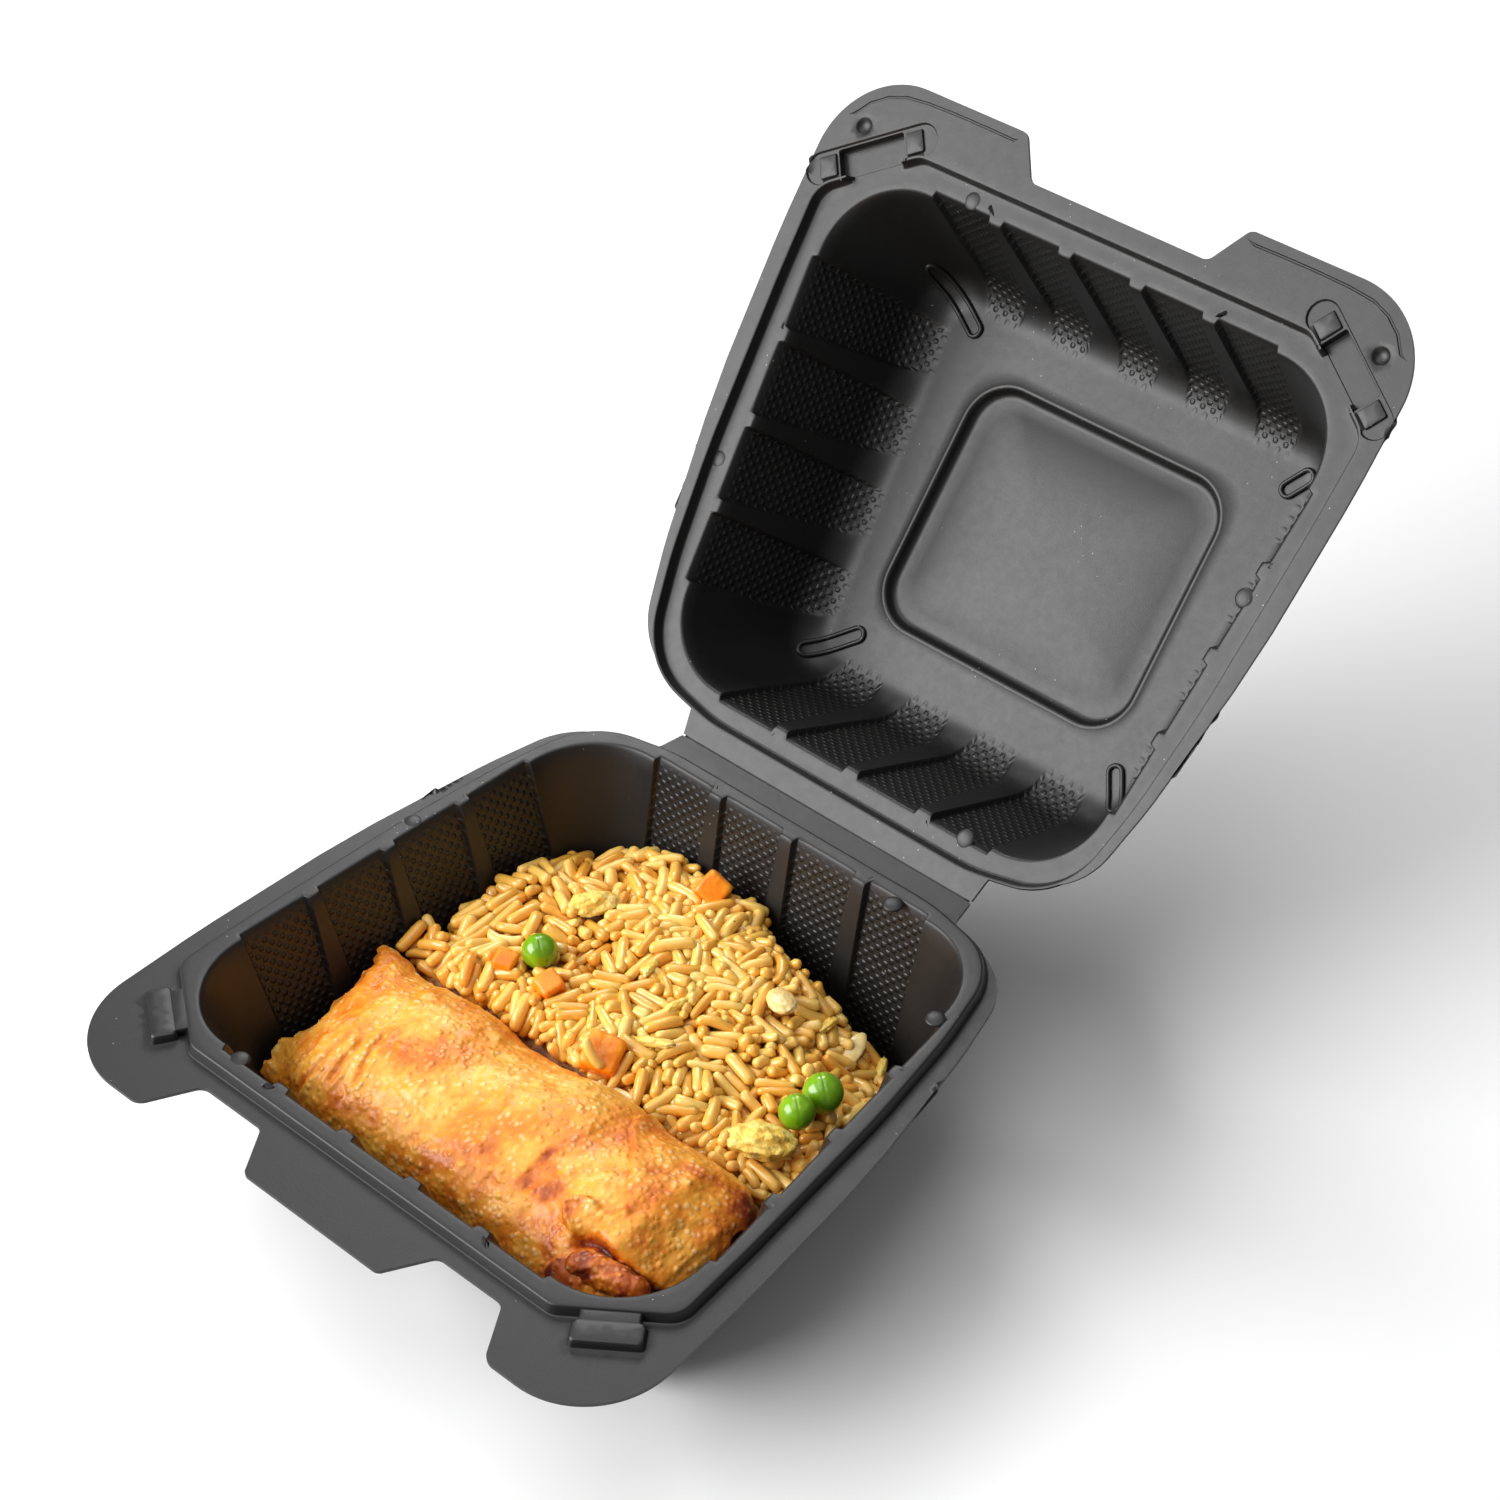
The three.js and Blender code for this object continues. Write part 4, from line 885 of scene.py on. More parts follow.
def roll_relief(flat, along):
    """How far the fried surface stands off the smooth form, and how dark it is, from 0 to 1: real browning,
    plus painted shade in its grooves, creases and open end.
    """
    x, y, z = flat.T
    on_top = smooth((z - ROLL_Z - 1) / 6)
    near_left = 1 - smooth(along / 0.34)
    low_front = smooth((-39 - y) / 7)
    lift = 0.7 * bumps(flat, 16, 3.1) + 0.26 * bumps(flat, 4.6, 7.7) + 0.05 * bumps(flat, 1.3, 1.1, 2)
    strain = np.column_stack([x * 0.62 + y * 0.2, y * 0.06, z * 0.1])
    lift += 0.5 * near_left * on_top * bumps(strain, 1.9, 2.0, 2)
    patchy = smooth((bumps(flat, 9, 19.0) + 0.3) / 0.5)
    small = bubbles(flat, 1.7, 0.5, 5.0)
    middling = bubbles(flat, 3.4, 0.36, 15.0) * patchy
    large = bubbles(flat, 8.5, 0.32, 9.0)
    fine = bubbles(flat, 0.95, 0.5, 25.0)
    lift += 0.1 * fine + 0.13 * small + 0.3 * middling + 0.5 * large + 0.2 * small * low_front
    browning_and_shade = 0.37 + 0.26 * bumps(flat, 13, 31.0) + 0.12 * bumps(flat, 4, 37.0, 4)
    browning_and_shade -= 0.07 * fine + 0.13 * small + 0.2 * middling + 0.14 * large
    for path in LEFT_FOLDS:
        gap = near_line(flat, path)
        lift += on_top * (0.35 * bell(gap - 1.3, 0.9) - 0.4 * bell(gap, 0.6))
        # Painted shade: darker along each fold's groove.
        browning_and_shade += on_top * 0.14 * bell(gap, 0.8)
    flap = depth_inside(flat, FLAP)
    seam = near_line(flat, SEAM)
    overlap = 0.75 * smooth(flap / 0.5 + 0.5) * np.exp(-np.maximum(flap, 0) / 9)
    lift += on_top * (overlap - 0.3 * bell(seam, 0.4))
    # Painted shade: darker along the sunken seam line.
    browning_and_shade += on_top * 0.2 * bell(seam, 0.7)
    tongue = depth_inside(flat, TONGUE)
    rim_of_tongue = bell(tongue - 0.7, 0.6)
    rough = 1 + 0.7 * bumps(flat, 1.4, 4.0, 2)
    left_side = smooth((35.6 - x) / 5)
    curl = 0.75 * rim_of_tongue * left_side * rough
    lift += on_top * (smooth(tongue / 0.9 + 0.3) * 0.9 * left_side + curl)
    browned = 0.3 * smooth((tongue + 0.4) / 0.8) * smooth((32.6 - x) / 2.6)
    browning_and_shade += on_top * (browned - 0.12 * rim_of_tongue)
    ridge = near_line(flat, RIDGE)
    lift += on_top * 0.85 * bell(ridge, 0.75) * rough
    # Painted light and shade: the ridge's crest is lightened and its flanks darkened.
    browning_and_shade += on_top * (0.1 * bell(ridge - 1, 0.5) - 0.1 * bell(ridge, 0.5))
    groove = near_line(flat, GROOVE)
    wide = 0.8 + 0.5 * smooth((44 - x) / 8)
    lift -= on_top * 2.9 * bell(groove, wide)
    # Painted shade: the groove under the flap is darkened as the flap's shadow.
    browning_and_shade += on_top * 0.6 * bell(groove, wide * 1.3)
    patch = depth_inside(flat, PATCH) + 0.9 * bumps(flat, 2.4, 41.0)
    spine = near_line(flat, PATCH_SPINE)
    band = near_line(flat, BAND) + 1.1 * bumps(flat, 3.5, 43.0)
    browning_and_shade += on_top * (0.3 * smooth((patch + 1.2) / 2.6) + 0.14 * bell(spine, 0.9))
    browning_and_shade += on_top * (0.13 * bell(near_line(flat, STREAK), 0.9) + 0.2 * bell(band, 1.5))
    lift -= on_top * (0.35 * smooth((patch + 0.5) / 2) + 0.2 * bell(spine, 0.8))
    lift -= on_top * 0.25 * bell(band, 1.1)
    scrap = depth_inside(flat, SCRAP)
    lift += smooth(scrap / 0.6 + 0.5) * 0.9 * (y < -40)
    browning_and_shade += smooth(scrap + 0.5) * 0.28 * (y < -40)
    blotch = smooth((bumps(flat, 5.5, 47.0) + 0.05) / 0.4)
    browning_and_shade += low_front * (0.02 + 0.13 * blotch) + 0.08 * smooth((ROLL_Z - 2 - z) / 8)
    browning_and_shade += 0.03 * smooth((0.035 - along) / 0.03) + 0.16 * smooth((along - 0.955) / 0.03)
    # At the back end this is a painted shade spot over the slit of the open corner; at the ear tip it is
    # real browning.
    for share, (end_x, end_y), radius in ((0.5, ROLL_BACK_END, 3.4), (0.05, ROLL_EAR_TIP, 4)):
        browning_and_shade += share * bell(np.hypot(x - end_x, y - end_y), radius)
    return lift, browning_and_shade


def make_roll_body():
    """The roll's wrapper, with its ragged left edge and its right end folded in."""
    even = np.linspace(0, 1, ROLL_RINGS)
    share = mix(even, 0.5 - 0.5 * np.cos(math.pi * even), 0.5)
    angle = np.linspace(0, 2 * math.pi, ROLL_SIDES, endpoint=False)
    grid = roll_form(share[:, None], angle[None, :])
    flat, out = grid.reshape(-1, 3), surface_normals(grid).reshape(-1, 3)
    along = np.repeat(share, ROLL_SIDES)
    lift, browning_and_shade = roll_relief(flat, along)
    at_left = 1 - smooth(along / 0.05)
    flat = flat + out * (lift * mix(1, 0.3, at_left))[:, None]
    profile = np.column_stack([flat[:, 1], flat[:, 1] * 0.3, flat[:, 2] * 0.2])
    ragged = bumps(profile, 2.1, 12.0, 4)
    front = smooth((-30 - flat[:, 1]) / 8)
    flat[:, 0] -= at_left ** 2 * (0.5 + 1.5 * ragged + 1.4 * front)
    flat[:, 2] += at_left ** 2 * (0.9 * bumps(profile, 3.2, 18.0, 2) + 2.2 * front)
    flat[:, 0] = np.maximum(flat[:, 0], ROLL_LIMIT_X)
    flat[:, 2] = np.maximum(flat[:, 2], ROLL_LIMIT_Z)
    points, browning_and_shade_parts = [flat], [browning_and_shade]
    rim_points, rim_browning_and_shade = flat[-ROLL_SIDES:], browning_and_shade[-ROLL_SIDES:]
    middle = rim_points.mean(0)
    opening = smooth((np.cos(angle - ROLL_OPENING) - 0.66) / 0.22)[:, None]
    shut = ((0.95, 0.55), (0.86, 1.1), (0.7, 1.55), (0.45, 1.8), (0.15, 1.9))
    held_open = ((0.965, 0.25), (0.93, -0.7), (0.86, -2.6), (0.62, -3.4), (0.3, -3.2))
    # Painted shade: the open end's inner rings go near black, standing in for the shade inside the roll.
    for (scale, depth), (open_scale, open_depth), opening_shade in zip(shut, held_open, (0.85, 0.95, 1, 1, 1)):
        ring = middle + (rim_points - middle) * mix(scale, open_scale, opening)
        ring[:, 0] += mix(depth, open_depth, opening[:, 0])
        ring += 0.25 * bumps(ring, 2.5, 22.0, 2)[:, None] * (1 - opening)
        points.append(ring)
        browning_and_shade_parts.append(mix(rim_browning_and_shade, opening_shade, opening[:, 0]))
    size = ROLL_RINGS + len(shut), ROLL_SIDES
    faces = tube_faces(*size) + end_faces(*size)
    return np.concatenate(points), faces, np.clip(np.concatenate(browning_and_shade_parts), 0, 1)


def make_roll_finger():
    """The rolled corner of the wrapper at the front right."""
    rings, sides = 90, 56
    t = np.linspace(0, 1, rings)
    height = 26.9 + 1.1 * np.sin(t * 2.7) - 0.8 * t
    spine = np.column_stack([mix(34.6, 52.2, t), mix(-43.4, -40.2, t), height])
    end = np.sqrt(np.clip(1 - np.abs(2 * t - 1) ** 6, 0.03, 1))
    radius = mix(3.3, 3.0, t) * end
    angle = np.linspace(0, 2 * math.pi, sides, endpoint=False)
    ring = np.stack([np.zeros(sides), np.cos(angle), np.sin(angle)], 1)
    flat = (spine[:, None] + ring[None] * radius[:, None, None]).reshape(-1, 3)
    out = np.tile(ring, (rings, 1))
    size = np.repeat(end, sides)
    small = bubbles(flat, 1.5, 0.5, 2.0)
    spiral = np.sin(np.tile(angle, rings) + flat[:, 0] * 0.28)
    lift = 0.35 * bumps(flat, 3, 51.0) + 0.2 * small - 0.35 * smooth((spiral - 0.8) / 0.2)
    flat = flat + out * (lift * size)[:, None]
    # The spiral term is painted shade: darker along the crease of the rolled layer.
    browning_and_shade = 0.74 + 0.2 * bumps(flat, 3, 8.0) - 0.16 * small + 0.15 * smooth((spiral - 0.8) / 0.2)
    browning_and_shade -= 0.2 * bell(flat[:, 0] - 43, 3)
    return flat, tube_faces(rings, sides) + end_faces(rings, sides), np.clip(browning_and_shade, 0, 1)


def fried_wrapper():
    f = Finish("fried wrapper dough")
    browning_and_shade = f.attribute("browning_and_shade")
    fine = f.noise(310, 5, 0.65)
    broad = f.noise(85, 4, 0.6)
    pores = f.cells(620)
    level = browning_and_shade + (fine - 0.5) * 0.34 + (broad - 0.5) * 0.3
    # The ramp's dark end serves both real browning and the painted shade in grooves, creases and the roll's
    # open end.
    colour = f.ramp(level, ((0.0, (0.97, 0.62, 0.19)), (0.2, (0.92, 0.45, 0.06)), (0.4, (0.84, 0.29, 0.02)),
                            (0.58, (0.68, 0.17, 0.009)), (0.74, (0.44, 0.075, 0.005)),
                            (0.88, (0.21, 0.026, 0.003)), (1.0, (0.05, 0.006, 0.002))))
    glint = pores.step(0.42, 0.2) * f.noise(140, 3).step(0.44, 0.58) * (1.0 - browning_and_shade)
    colour = f.blend(glint * 0.7, colour, (0.98, 0.74, 0.36))
    normal = f.bump(pores.step(0.55, 0.1), 0.00022, 0.7)
    normal = f.bump(fine, 0.00035, 0.7, normal)
    oil = f.noise(150, 3).step(0.42, 0.62)
    return f.set(Base_Color=colour, Roughness=0.5 - oil * 0.2, Subsurface_Weight=0.1,
                 Subsurface_Radius=(0.004, 0.0016, 0.0006), Subsurface_Scale=0.35, Normal=normal)


def joined_piece(name, parts, layer, material):
    """One object from several lots of points, faces and one value per point."""
    piece = mesh_object(name, *merged([part[:2] for part in parts]), material)
    add_layer(piece, layer, np.concatenate([part[2] for part in parts]))
    return piece


def make_egg_roll():
    roll = joined_piece("egg_roll_fried", [make_roll_body(), make_roll_finger()], "browning_and_shade", fried_wrapper())
    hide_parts("egg_roll")
    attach(roll, "tray")


# Rice heap

HEAP_MIDDLE = np.array([-2.0, 21.0])
BASIN_FLOOR = FOOT_STEP + SHEET
GRAINS = 1150
GRAIN_LENGTH, GRAIN_WIDTH = 8.2, 2.8
CORE_DEPTH = 4.0
CORE_FOOT_SHARE, CORE_SIDE_SHARE = 0.88, 0.94
FLOOR_INSET = 18.6
# How the grains settle: rounds of pushing, reach of a neighbour, contact width and longest move
PUSH_ROUNDS = 70
NEIGHBOUR_REACH = 11
CONTACT = 0.42
LONGEST_MOVE = 0.8
SPREAD_OF_TILT = 0.34
STEEP_SHARE, BUNDLED_SHARE, STANDING_SHARE, BROKEN_SHARE = 0.09, 0.45, 0.16, 0.14
TO_FRONT_RIGHT = np.array([0.52, -0.533, 0.667])
ALONG_VIEW, UP_VIEW = np.array([0.716, 0.698, 0]), np.array([-0.465, 0.478, 0.745])
# Each topping's x, y, z, radius and turns, and each shred's two ends and width
TOPPINGS = {"pea_1": (-25.2, 9.4, 30.6, 3.8, (0, 0, 0)), "pea_2": (42.9, 20.4, 26.4, 4.2, (0, 0, 0)),
            "pea_3": (43.4, 12.1, 28.2, 3.7, (0, 0, 0)), "carrot_1": (-11.2, 47, 29.4, 3.9, (38, 32, 10)),
            "carrot_2": (-29.6, 3.4, 29.2, 2.9, (10, 15, 20)),
            "carrot_3": (-17.9, 4.6, 28.9, 3.3, (15, -10, 75)),
            "carrot_4": (3.1, -1.4, 27.6, 5, (25, 14, 22)), "egg_1": (-28, 28, 28.6, 4.2, (8, 5, 60)),
            "egg_2": (42.4, 3.2, 26.3, 5.6, (0, 12, 40)), "onion_1": (21, 32.5, 28.2, 4.2, (10, 8, 147))}
EGG_SHREDS = [((5.3, 5.5), (12.8, 8.7), 2.4), ((5.1, 14.9), (6.5, 19.9), 2.1),
              ((-4.6, 19.2), (-5.9, 24.1), 1.9), ((28.6, 36.1), (28.0, 40.9), 2.6),
              ((38.5, 44.0), (40.5, 39.0), 2.2)]
ONION_SHREDS = [((35.2, 34.1), (33.6, 43.2), 4.2), ((9.0, -5.6), (15.4, -5.0), 2.6),
                ((50.4, -13.5), (51.4, -9.5), 2.2)]


def wall_room(x, y, z):
    """How far points lie inside the tray's ribs."""
    lean = math.radians(TRAY_DRAFT)
    depth = np.clip(RIM_TOP - z, 0, 40)
    inset = depth * math.tan(lean) + np.maximum(0, depth - 32) ** 2 * 0.09
    front, back = BASIN_CORNERS[1:3]
    slope = (front[0] - back[0]) / (back[1] - front[1])
    half_x = front[0] - slope * (y - front[1]) - inset - RELIEF_TOP
    back_y = back[1] - inset - RELIEF_TOP
    radius = back[2] - np.clip(inset / FLOOR_INSET, 0, 1) * (back[2] - BASIN_FLOOR_RADIUS)
    room = np.minimum(half_x - np.abs(x), back_y - y)
    corner_x = np.abs(x) - (half_x - radius)
    corner_y = y - (back_y - radius)
    in_corner = (corner_x > 0) & (corner_y > 0)
    return np.where(in_corner, np.minimum(room, radius - np.hypot(corner_x, corner_y)), room)


def heap_height(x, y):
    """The heap's open surface: a low crown that falls to the right, the back corners and the roll."""
    to_right = smooth((x - 8) / 46)
    to_back_right = smooth((x - 14) / 30) * smooth((y - 20) / 26)
    to_back_left = smooth((-x - 26) / 22) * smooth((y - 26) / 20)
    by_roll = 1 - smooth((y + 9) / 9)
    crown = 1.6 * np.cos((x + 12) / 22) * np.cos((y - 20) / 24)
    return 27.6 + crown - 4.6 * to_right - 11 * to_back_right - 6 * to_back_left - 4.5 * by_roll


def roll_depth(y, z):
    """Under 1 inside the egg roll."""
    return ((np.abs(y - ROLL_Y) / (ROLL_HALF_WIDTH + 0.5)) ** 2.4
            + (np.abs(z - ROLL_Z) / (ROLL_HALF_HEIGHT + 0.5)) ** 2.2)


def heap_reach():
    """How far the heap goes from its middle, for a table of directions."""
    turns = np.linspace(0, 2 * math.pi, 181)
    reach = np.full(len(turns), 8.0)
    going = np.ones(len(turns), bool)
    while going.any() and reach.max() < 75:
        x = HEAP_MIDDLE[0] + np.cos(turns) * reach
        y = HEAP_MIDDLE[1] + np.sin(turns) * reach
        slump = np.where(x > 0, 4.5 + 3 * smooth((y - 10) / 30), 0)
        going &= (wall_room(x, y, 22.0) >= 1.6 + slump) & (y >= ROLL_Y + ROLL_HALF_WIDTH * 0.55)
        reach = np.where(going, reach + 0.25, reach)
    return turns, reach


def heap_level(x, y, table):
    """The heap's surface with its rounded edge, and the share of the way out to that edge."""
    far = np.hypot(x - HEAP_MIDDLE[0], y - HEAP_MIDDLE[1])
    out = np.arctan2(y - HEAP_MIDDLE[1], x - HEAP_MIDDLE[0]) % (2 * math.pi)
    share = far / np.interp(out, *table)
    return heap_height(x, y) - 1.2 * smooth((share - 0.85) / 0.15), share


def make_heap_core(table):
    """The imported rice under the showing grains, with lumps finer than a grain."""
    stations, rings = 160, 44
    turn = np.linspace(0, 2 * math.pi, stations, endpoint=False)
    reach = np.interp(turn, *table)
    points = []

    def ring_at(share, z=None):
        x = HEAP_MIDDLE[0] + np.cos(turn) * reach * share
        y = HEAP_MIDDLE[1] + np.sin(turn) * reach * share
        level = heap_level(x, y, table)[0] - CORE_DEPTH - 3 * smooth((share - 0.8) / 0.2)
        flat = np.column_stack([x, y, level if z is None else np.full(stations, z)])
        if z is None:
            flat[:, 2] += 0.9 * bumps(flat, 2.2, 6.0)
        points.append(flat)

    ring_at(CORE_FOOT_SHARE, BASIN_FLOOR + 0.35)
    ring_at(CORE_SIDE_SHARE, 9.0)
    for k in range(rings):
        ring_at(CORE_SIDE_SHARE * (1 - k / rings))
    size = len(points), stations
    return np.concatenate(points), tube_faces(*size) + end_faces(*size)


def settle_grains(table, count, seed=20):
    """Places grains over the heap in loose bundles and pushes them apart until they lie on each other."""
    random = np.random.default_rng(seed)
    turn = random.uniform(0, 2 * math.pi, count)
    share = np.sqrt(random.uniform(0, 1.12, count))
    reach = np.interp(turn, *table) * np.minimum(share, 1.0)
    x = HEAP_MIDDLE[0] + np.cos(turn) * reach
    y = HEAP_MIDDLE[1] + np.sin(turn) * reach
    depth = random.uniform(0.9, 5.6, count)
    depth = np.where(share > 1, random.uniform(2, 12, count), depth)
    heading = random.uniform(0, 2 * math.pi, count)
    tilt = random.normal(0, SPREAD_OF_TILT, count)
    steep = random.uniform(0, 1, count) < STEEP_SHARE
    tilt = np.where(steep, random.uniform(0.7, 1.4, count), tilt)
    follows = random.uniform(0, 1, count) < BUNDLED_SHARE
    standing = np.where(random.uniform(0, 1, count) < STANDING_SHARE, 1.3, 0.0)
    for k in np.nonzero(follows)[0]:
        heading[k] = heading[k - 1] + random.normal(0, 0.16)
        tilt[k] = tilt[k - 1]
        step = random.normal(0, 1.2)
        x[k] = x[k - 1] - math.sin(heading[k]) * GRAIN_WIDTH + math.cos(heading[k]) * step
        y[k] = y[k - 1] + math.cos(heading[k]) * GRAIN_WIDTH + math.sin(heading[k]) * step
        depth[k] = depth[k - 1]
    level, _ = heap_level(x, y, table)
    centre = np.column_stack([x, y, level - depth])
    way = np.column_stack([np.cos(heading) * np.cos(tilt), np.sin(heading) * np.cos(tilt), np.sin(tilt)])
    length = random.normal(GRAIN_LENGTH, 0.95, count).clip(5.6, 10)
    broken = random.uniform(0, 1, count) < BROKEN_SHARE
    length = np.where(broken, random.uniform(3.4, 5.4, count), length)
    width = random.normal(GRAIN_WIDTH, 0.2, count).clip(2.3, 3.3)
    arms = np.array([-1, -0.33, 0.33, 1])
    tops = np.array([t[:3] for t in TOPPINGS.values()])
    sizes = np.array([t[3] for t in TOPPINGS.values()])
    for turn_number in range(PUSH_ROUNDS):
        if turn_number % 10 == 0:
            gap = np.linalg.norm(centre[:, None] - centre[None], axis=2)
            first, second = np.nonzero(np.triu(gap < NEIGHBOUR_REACH, 1))
        half = (length - width) / 2
        beads = centre[:, None] + way[:, None] * (arms[None, :, None] * half[:, None, None])
        a, b = beads[first][:, :, None], beads[second][:, None]
        apart = a - b
        gap = np.linalg.norm(apart, axis=3)
        need = ((width[first] + width[second]) * CONTACT)[:, None, None]
        over = np.clip(need - gap, 0, None)
        push = apart / np.maximum(gap, 1e-6)[..., None] * (over * 0.42)[..., None]
        moves = np.zeros_like(beads)
        np.add.at(moves, first, push.sum(2))
        np.add.at(moves, second, -push.sum(1))
        bx, by, bz = beads[..., 0], beads[..., 1], beads[..., 2]
        top, reached = heap_level(bx, by, table)
        out = np.arctan2(by - HEAP_MIDDLE[1], bx - HEAP_MIDDLE[0])
        inward = -np.stack([np.cos(out), np.sin(out)], -1)
        ceiling = top - 0.9 + standing[:, None]
        bed = np.where(reached > 0.97, BASIN_FLOOR + 2.0, top - CORE_DEPTH - 1.0)
        moves[..., 2] -= np.clip(bz - ceiling, 0, 1.5) * 0.8
        moves[..., 2] += np.clip(bed - bz, 0, 1.0) * 0.5
        room = wall_room(bx, by, bz) - width[:, None] * 0.5 - 0.35
        moves[..., :2] += inward * np.clip(-room, 0, 2)[..., None] * 0.7
        moves[..., :2] += inward * np.clip((reached - 1.03) * 50, 0, 2)[..., None] * 0.3
        inside_roll = np.clip(1.25 - roll_depth(by, bz), 0, 1)
        moves[..., 1] += inside_roll * 1.8
        for spot, size in zip(tops, sizes):
            off = beads - spot
            gap = np.linalg.norm(off, axis=2)
            clear = size * 0.9 + width[:, None] * 0.45
            moves += off / np.maximum(gap, 1e-6)[..., None] * np.clip(clear - gap, 0, 2)[..., None] * 0.5
        centre = centre + np.clip(moves.mean(1), -LONGEST_MOVE, LONGEST_MOVE)
        centre[:, 2] += 0.06 * (heap_level(centre[:, 0], centre[:, 1], table)[0] - depth - centre[:, 2])
        twist = (moves * arms[None, :, None]).mean(1) / np.maximum(half, 1)[:, None]
        way = units(way + twist * 1.1)
    beads = centre[:, None] + way[:, None] * (arms[None, :, None] * half[:, None, None])
    keep = (roll_depth(beads[..., 1], beads[..., 2]) > 1.14).all(1)
    for spot, size in zip(tops, sizes):
        off = beads - spot
        ahead = off @ TO_FRONT_RIGHT
        aside = np.linalg.norm(off - ahead[..., None] * TO_FRONT_RIGHT, axis=2)
        keep &= ~((ahead > 0) & (aside < size * 0.7)).any(1)
    keep &= (wall_room(beads[..., 0], beads[..., 1], beads[..., 2]) > width[:, None] * 0.5).all(1)
    return centre[keep], way[keep], length[keep], width[keep], random


def make_grain_mesh(table):
    """Blunt, slightly bowed grains, with a tone and a depth below the heap's surface for each."""
    centre, way, length, width, random = settle_grains(table, GRAINS)
    on_carrot = np.array(TOPPINGS["carrot_4"][:3]) - 1.6 * ALONG_VIEW + 1.0 * UP_VIEW + 5.2 * TO_FRONT_RIGHT
    centre = np.vstack([centre, on_carrot])
    way = np.vstack([way, unit(0.42 * ALONG_VIEW - 0.9 * UP_VIEW - 0.1 * TO_FRONT_RIGHT)])
    length, width = np.append(length, 7.0), np.append(width, 2.4)
    t = np.array([-1, -0.955, -0.82, -0.35, 0.35, 0.8, 0.95, 1])
    radius = np.array([0.34, 0.7, 0.94, 1.0, 0.98, 0.88, 0.62, 0.3])
    rings, sides, count = len(t), 8, len(centre)
    angle = np.linspace(0, 2 * math.pi, sides, endpoint=False)
    helper = np.where(np.abs(way[:, 2:3]) < 0.9, np.array([[0, 0, 1.0]]), np.array([[1.0, 0, 0]]))
    side = units(np.cross(helper, way))
    top = np.cross(way, side)
    roll_angle = random.uniform(0, 2 * math.pi, count)
    c, s = np.cos(roll_angle)[:, None], np.sin(roll_angle)[:, None]
    side, top = side * c + top * s, top * c - side * s
    bow = random.normal(0, 0.055, count)
    flatness = random.uniform(0.8, 1.0, count)
    girth = random.uniform(0.9, 1.06, (count, rings))
    along = t[None, :] * (length / 2)[:, None]
    sway = (1 - t[None, :] ** 2) * (bow * length)[:, None]
    spine = centre[:, None] + way[:, None] * along[..., None] + side[:, None] * sway[..., None]
    thick = radius[None, :] * girth * (width / 2)[:, None]
    ring = (side[:, None, None] * np.cos(angle)[None, None, :, None]
            + top[:, None, None] * (np.sin(angle)[None, None, :, None] * flatness[:, None, None, None]))
    points = (spine[:, :, None] + ring * thick[..., None, None]).reshape(-1, 3)
    one = tube_faces(rings, sides) + end_faces(rings, sides)
    per = rings * sides
    faces = [tuple(i + g * per for i in face) for g in range(count) for face in one]
    tone = np.repeat(random.uniform(0, 1, count), per)
    # This depth drives the painted shade on grains lying deep in the heap.
    depth = heap_level(points[:, 0], points[:, 1], table)[0] - points[:, 2]
    return points, faces, tone, np.clip(depth / 6, 0, 1)


def cooked_rice():
    f = Finish("cooked fried rice")
    tone = f.attribute("tone")
    # Painted shade: grains deeper below the heap's surface are darkened and tinted mauve-brown, as shade
    # between and under grains.
    low = f.attribute("depth").step(0.15, 0.95)
    fine = f.noise(900, 3)
    broad = f.noise(55, 3)
    level = tone * 0.6 + (fine - 0.5) * 0.3 + (broad - 0.5) * 0.8 + low * 0.45
    colour = f.ramp(level, ((0.0, (0.93, 0.57, 0.14)), (0.3, (0.88, 0.47, 0.075)),
                            (0.6, (0.8, 0.36, 0.036)), (0.85, (0.66, 0.25, 0.025)),
                            (1.0, (0.46, 0.16, 0.022))))
    mauve_shade = f.noise(40, 2).step(0.5, 0.62) * low
    colour = f.blend(mauve_shade * 0.5, colour, (0.42, 0.2, 0.1))
    speck = f.cells(210).step(0.07, 0.05) * f.noise(33, 2).step(0.56, 0.6)
    colour = f.blend(speck, colour, (0.09, 0.035, 0.012))
    normal = f.bump(fine, 0.00012, 0.6)
    return f.set(Base_Color=colour, Roughness=0.3, Subsurface_Weight=0.45,
                 Subsurface_Radius=(0.004, 0.0024, 0.001), Subsurface_Scale=0.6, Coat_Roughness=0.1,
                 Coat_Weight=0.55, Normal=normal)


def shaded_rice_underlayer():
    f = Finish("shaded rice underlayer")
    lumps = f.noise(420, 4)
    # Painted shade: the core is dark brown, standing in for the shade in the gaps between grains.
    colour = f.blend(lumps.step(0.35, 0.65), (0.16, 0.06, 0.015), (0.5, 0.25, 0.07))
    return f.set(Base_Color=colour, Roughness=0.5, Normal=f.bump(lumps, 0.0012, 0.9))


def make_rice(table):
    """The heap's core and its grains, which stand in place of the solid heap."""
    points, faces = make_heap_core(table)
    core = mesh_object("rice_core", points, faces, shaded_rice_underlayer())
    points, faces, tone, depth = make_grain_mesh(table)
    grains = mesh_object("rice_grains", points, faces, cooked_rice())
    add_layer(grains, "tone", tone)
    add_layer(grains, "depth", depth)
    for piece in (core, grains):
        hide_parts("rice_heap")
        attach(piece, "tray")


# Peas, carrot, egg and onion

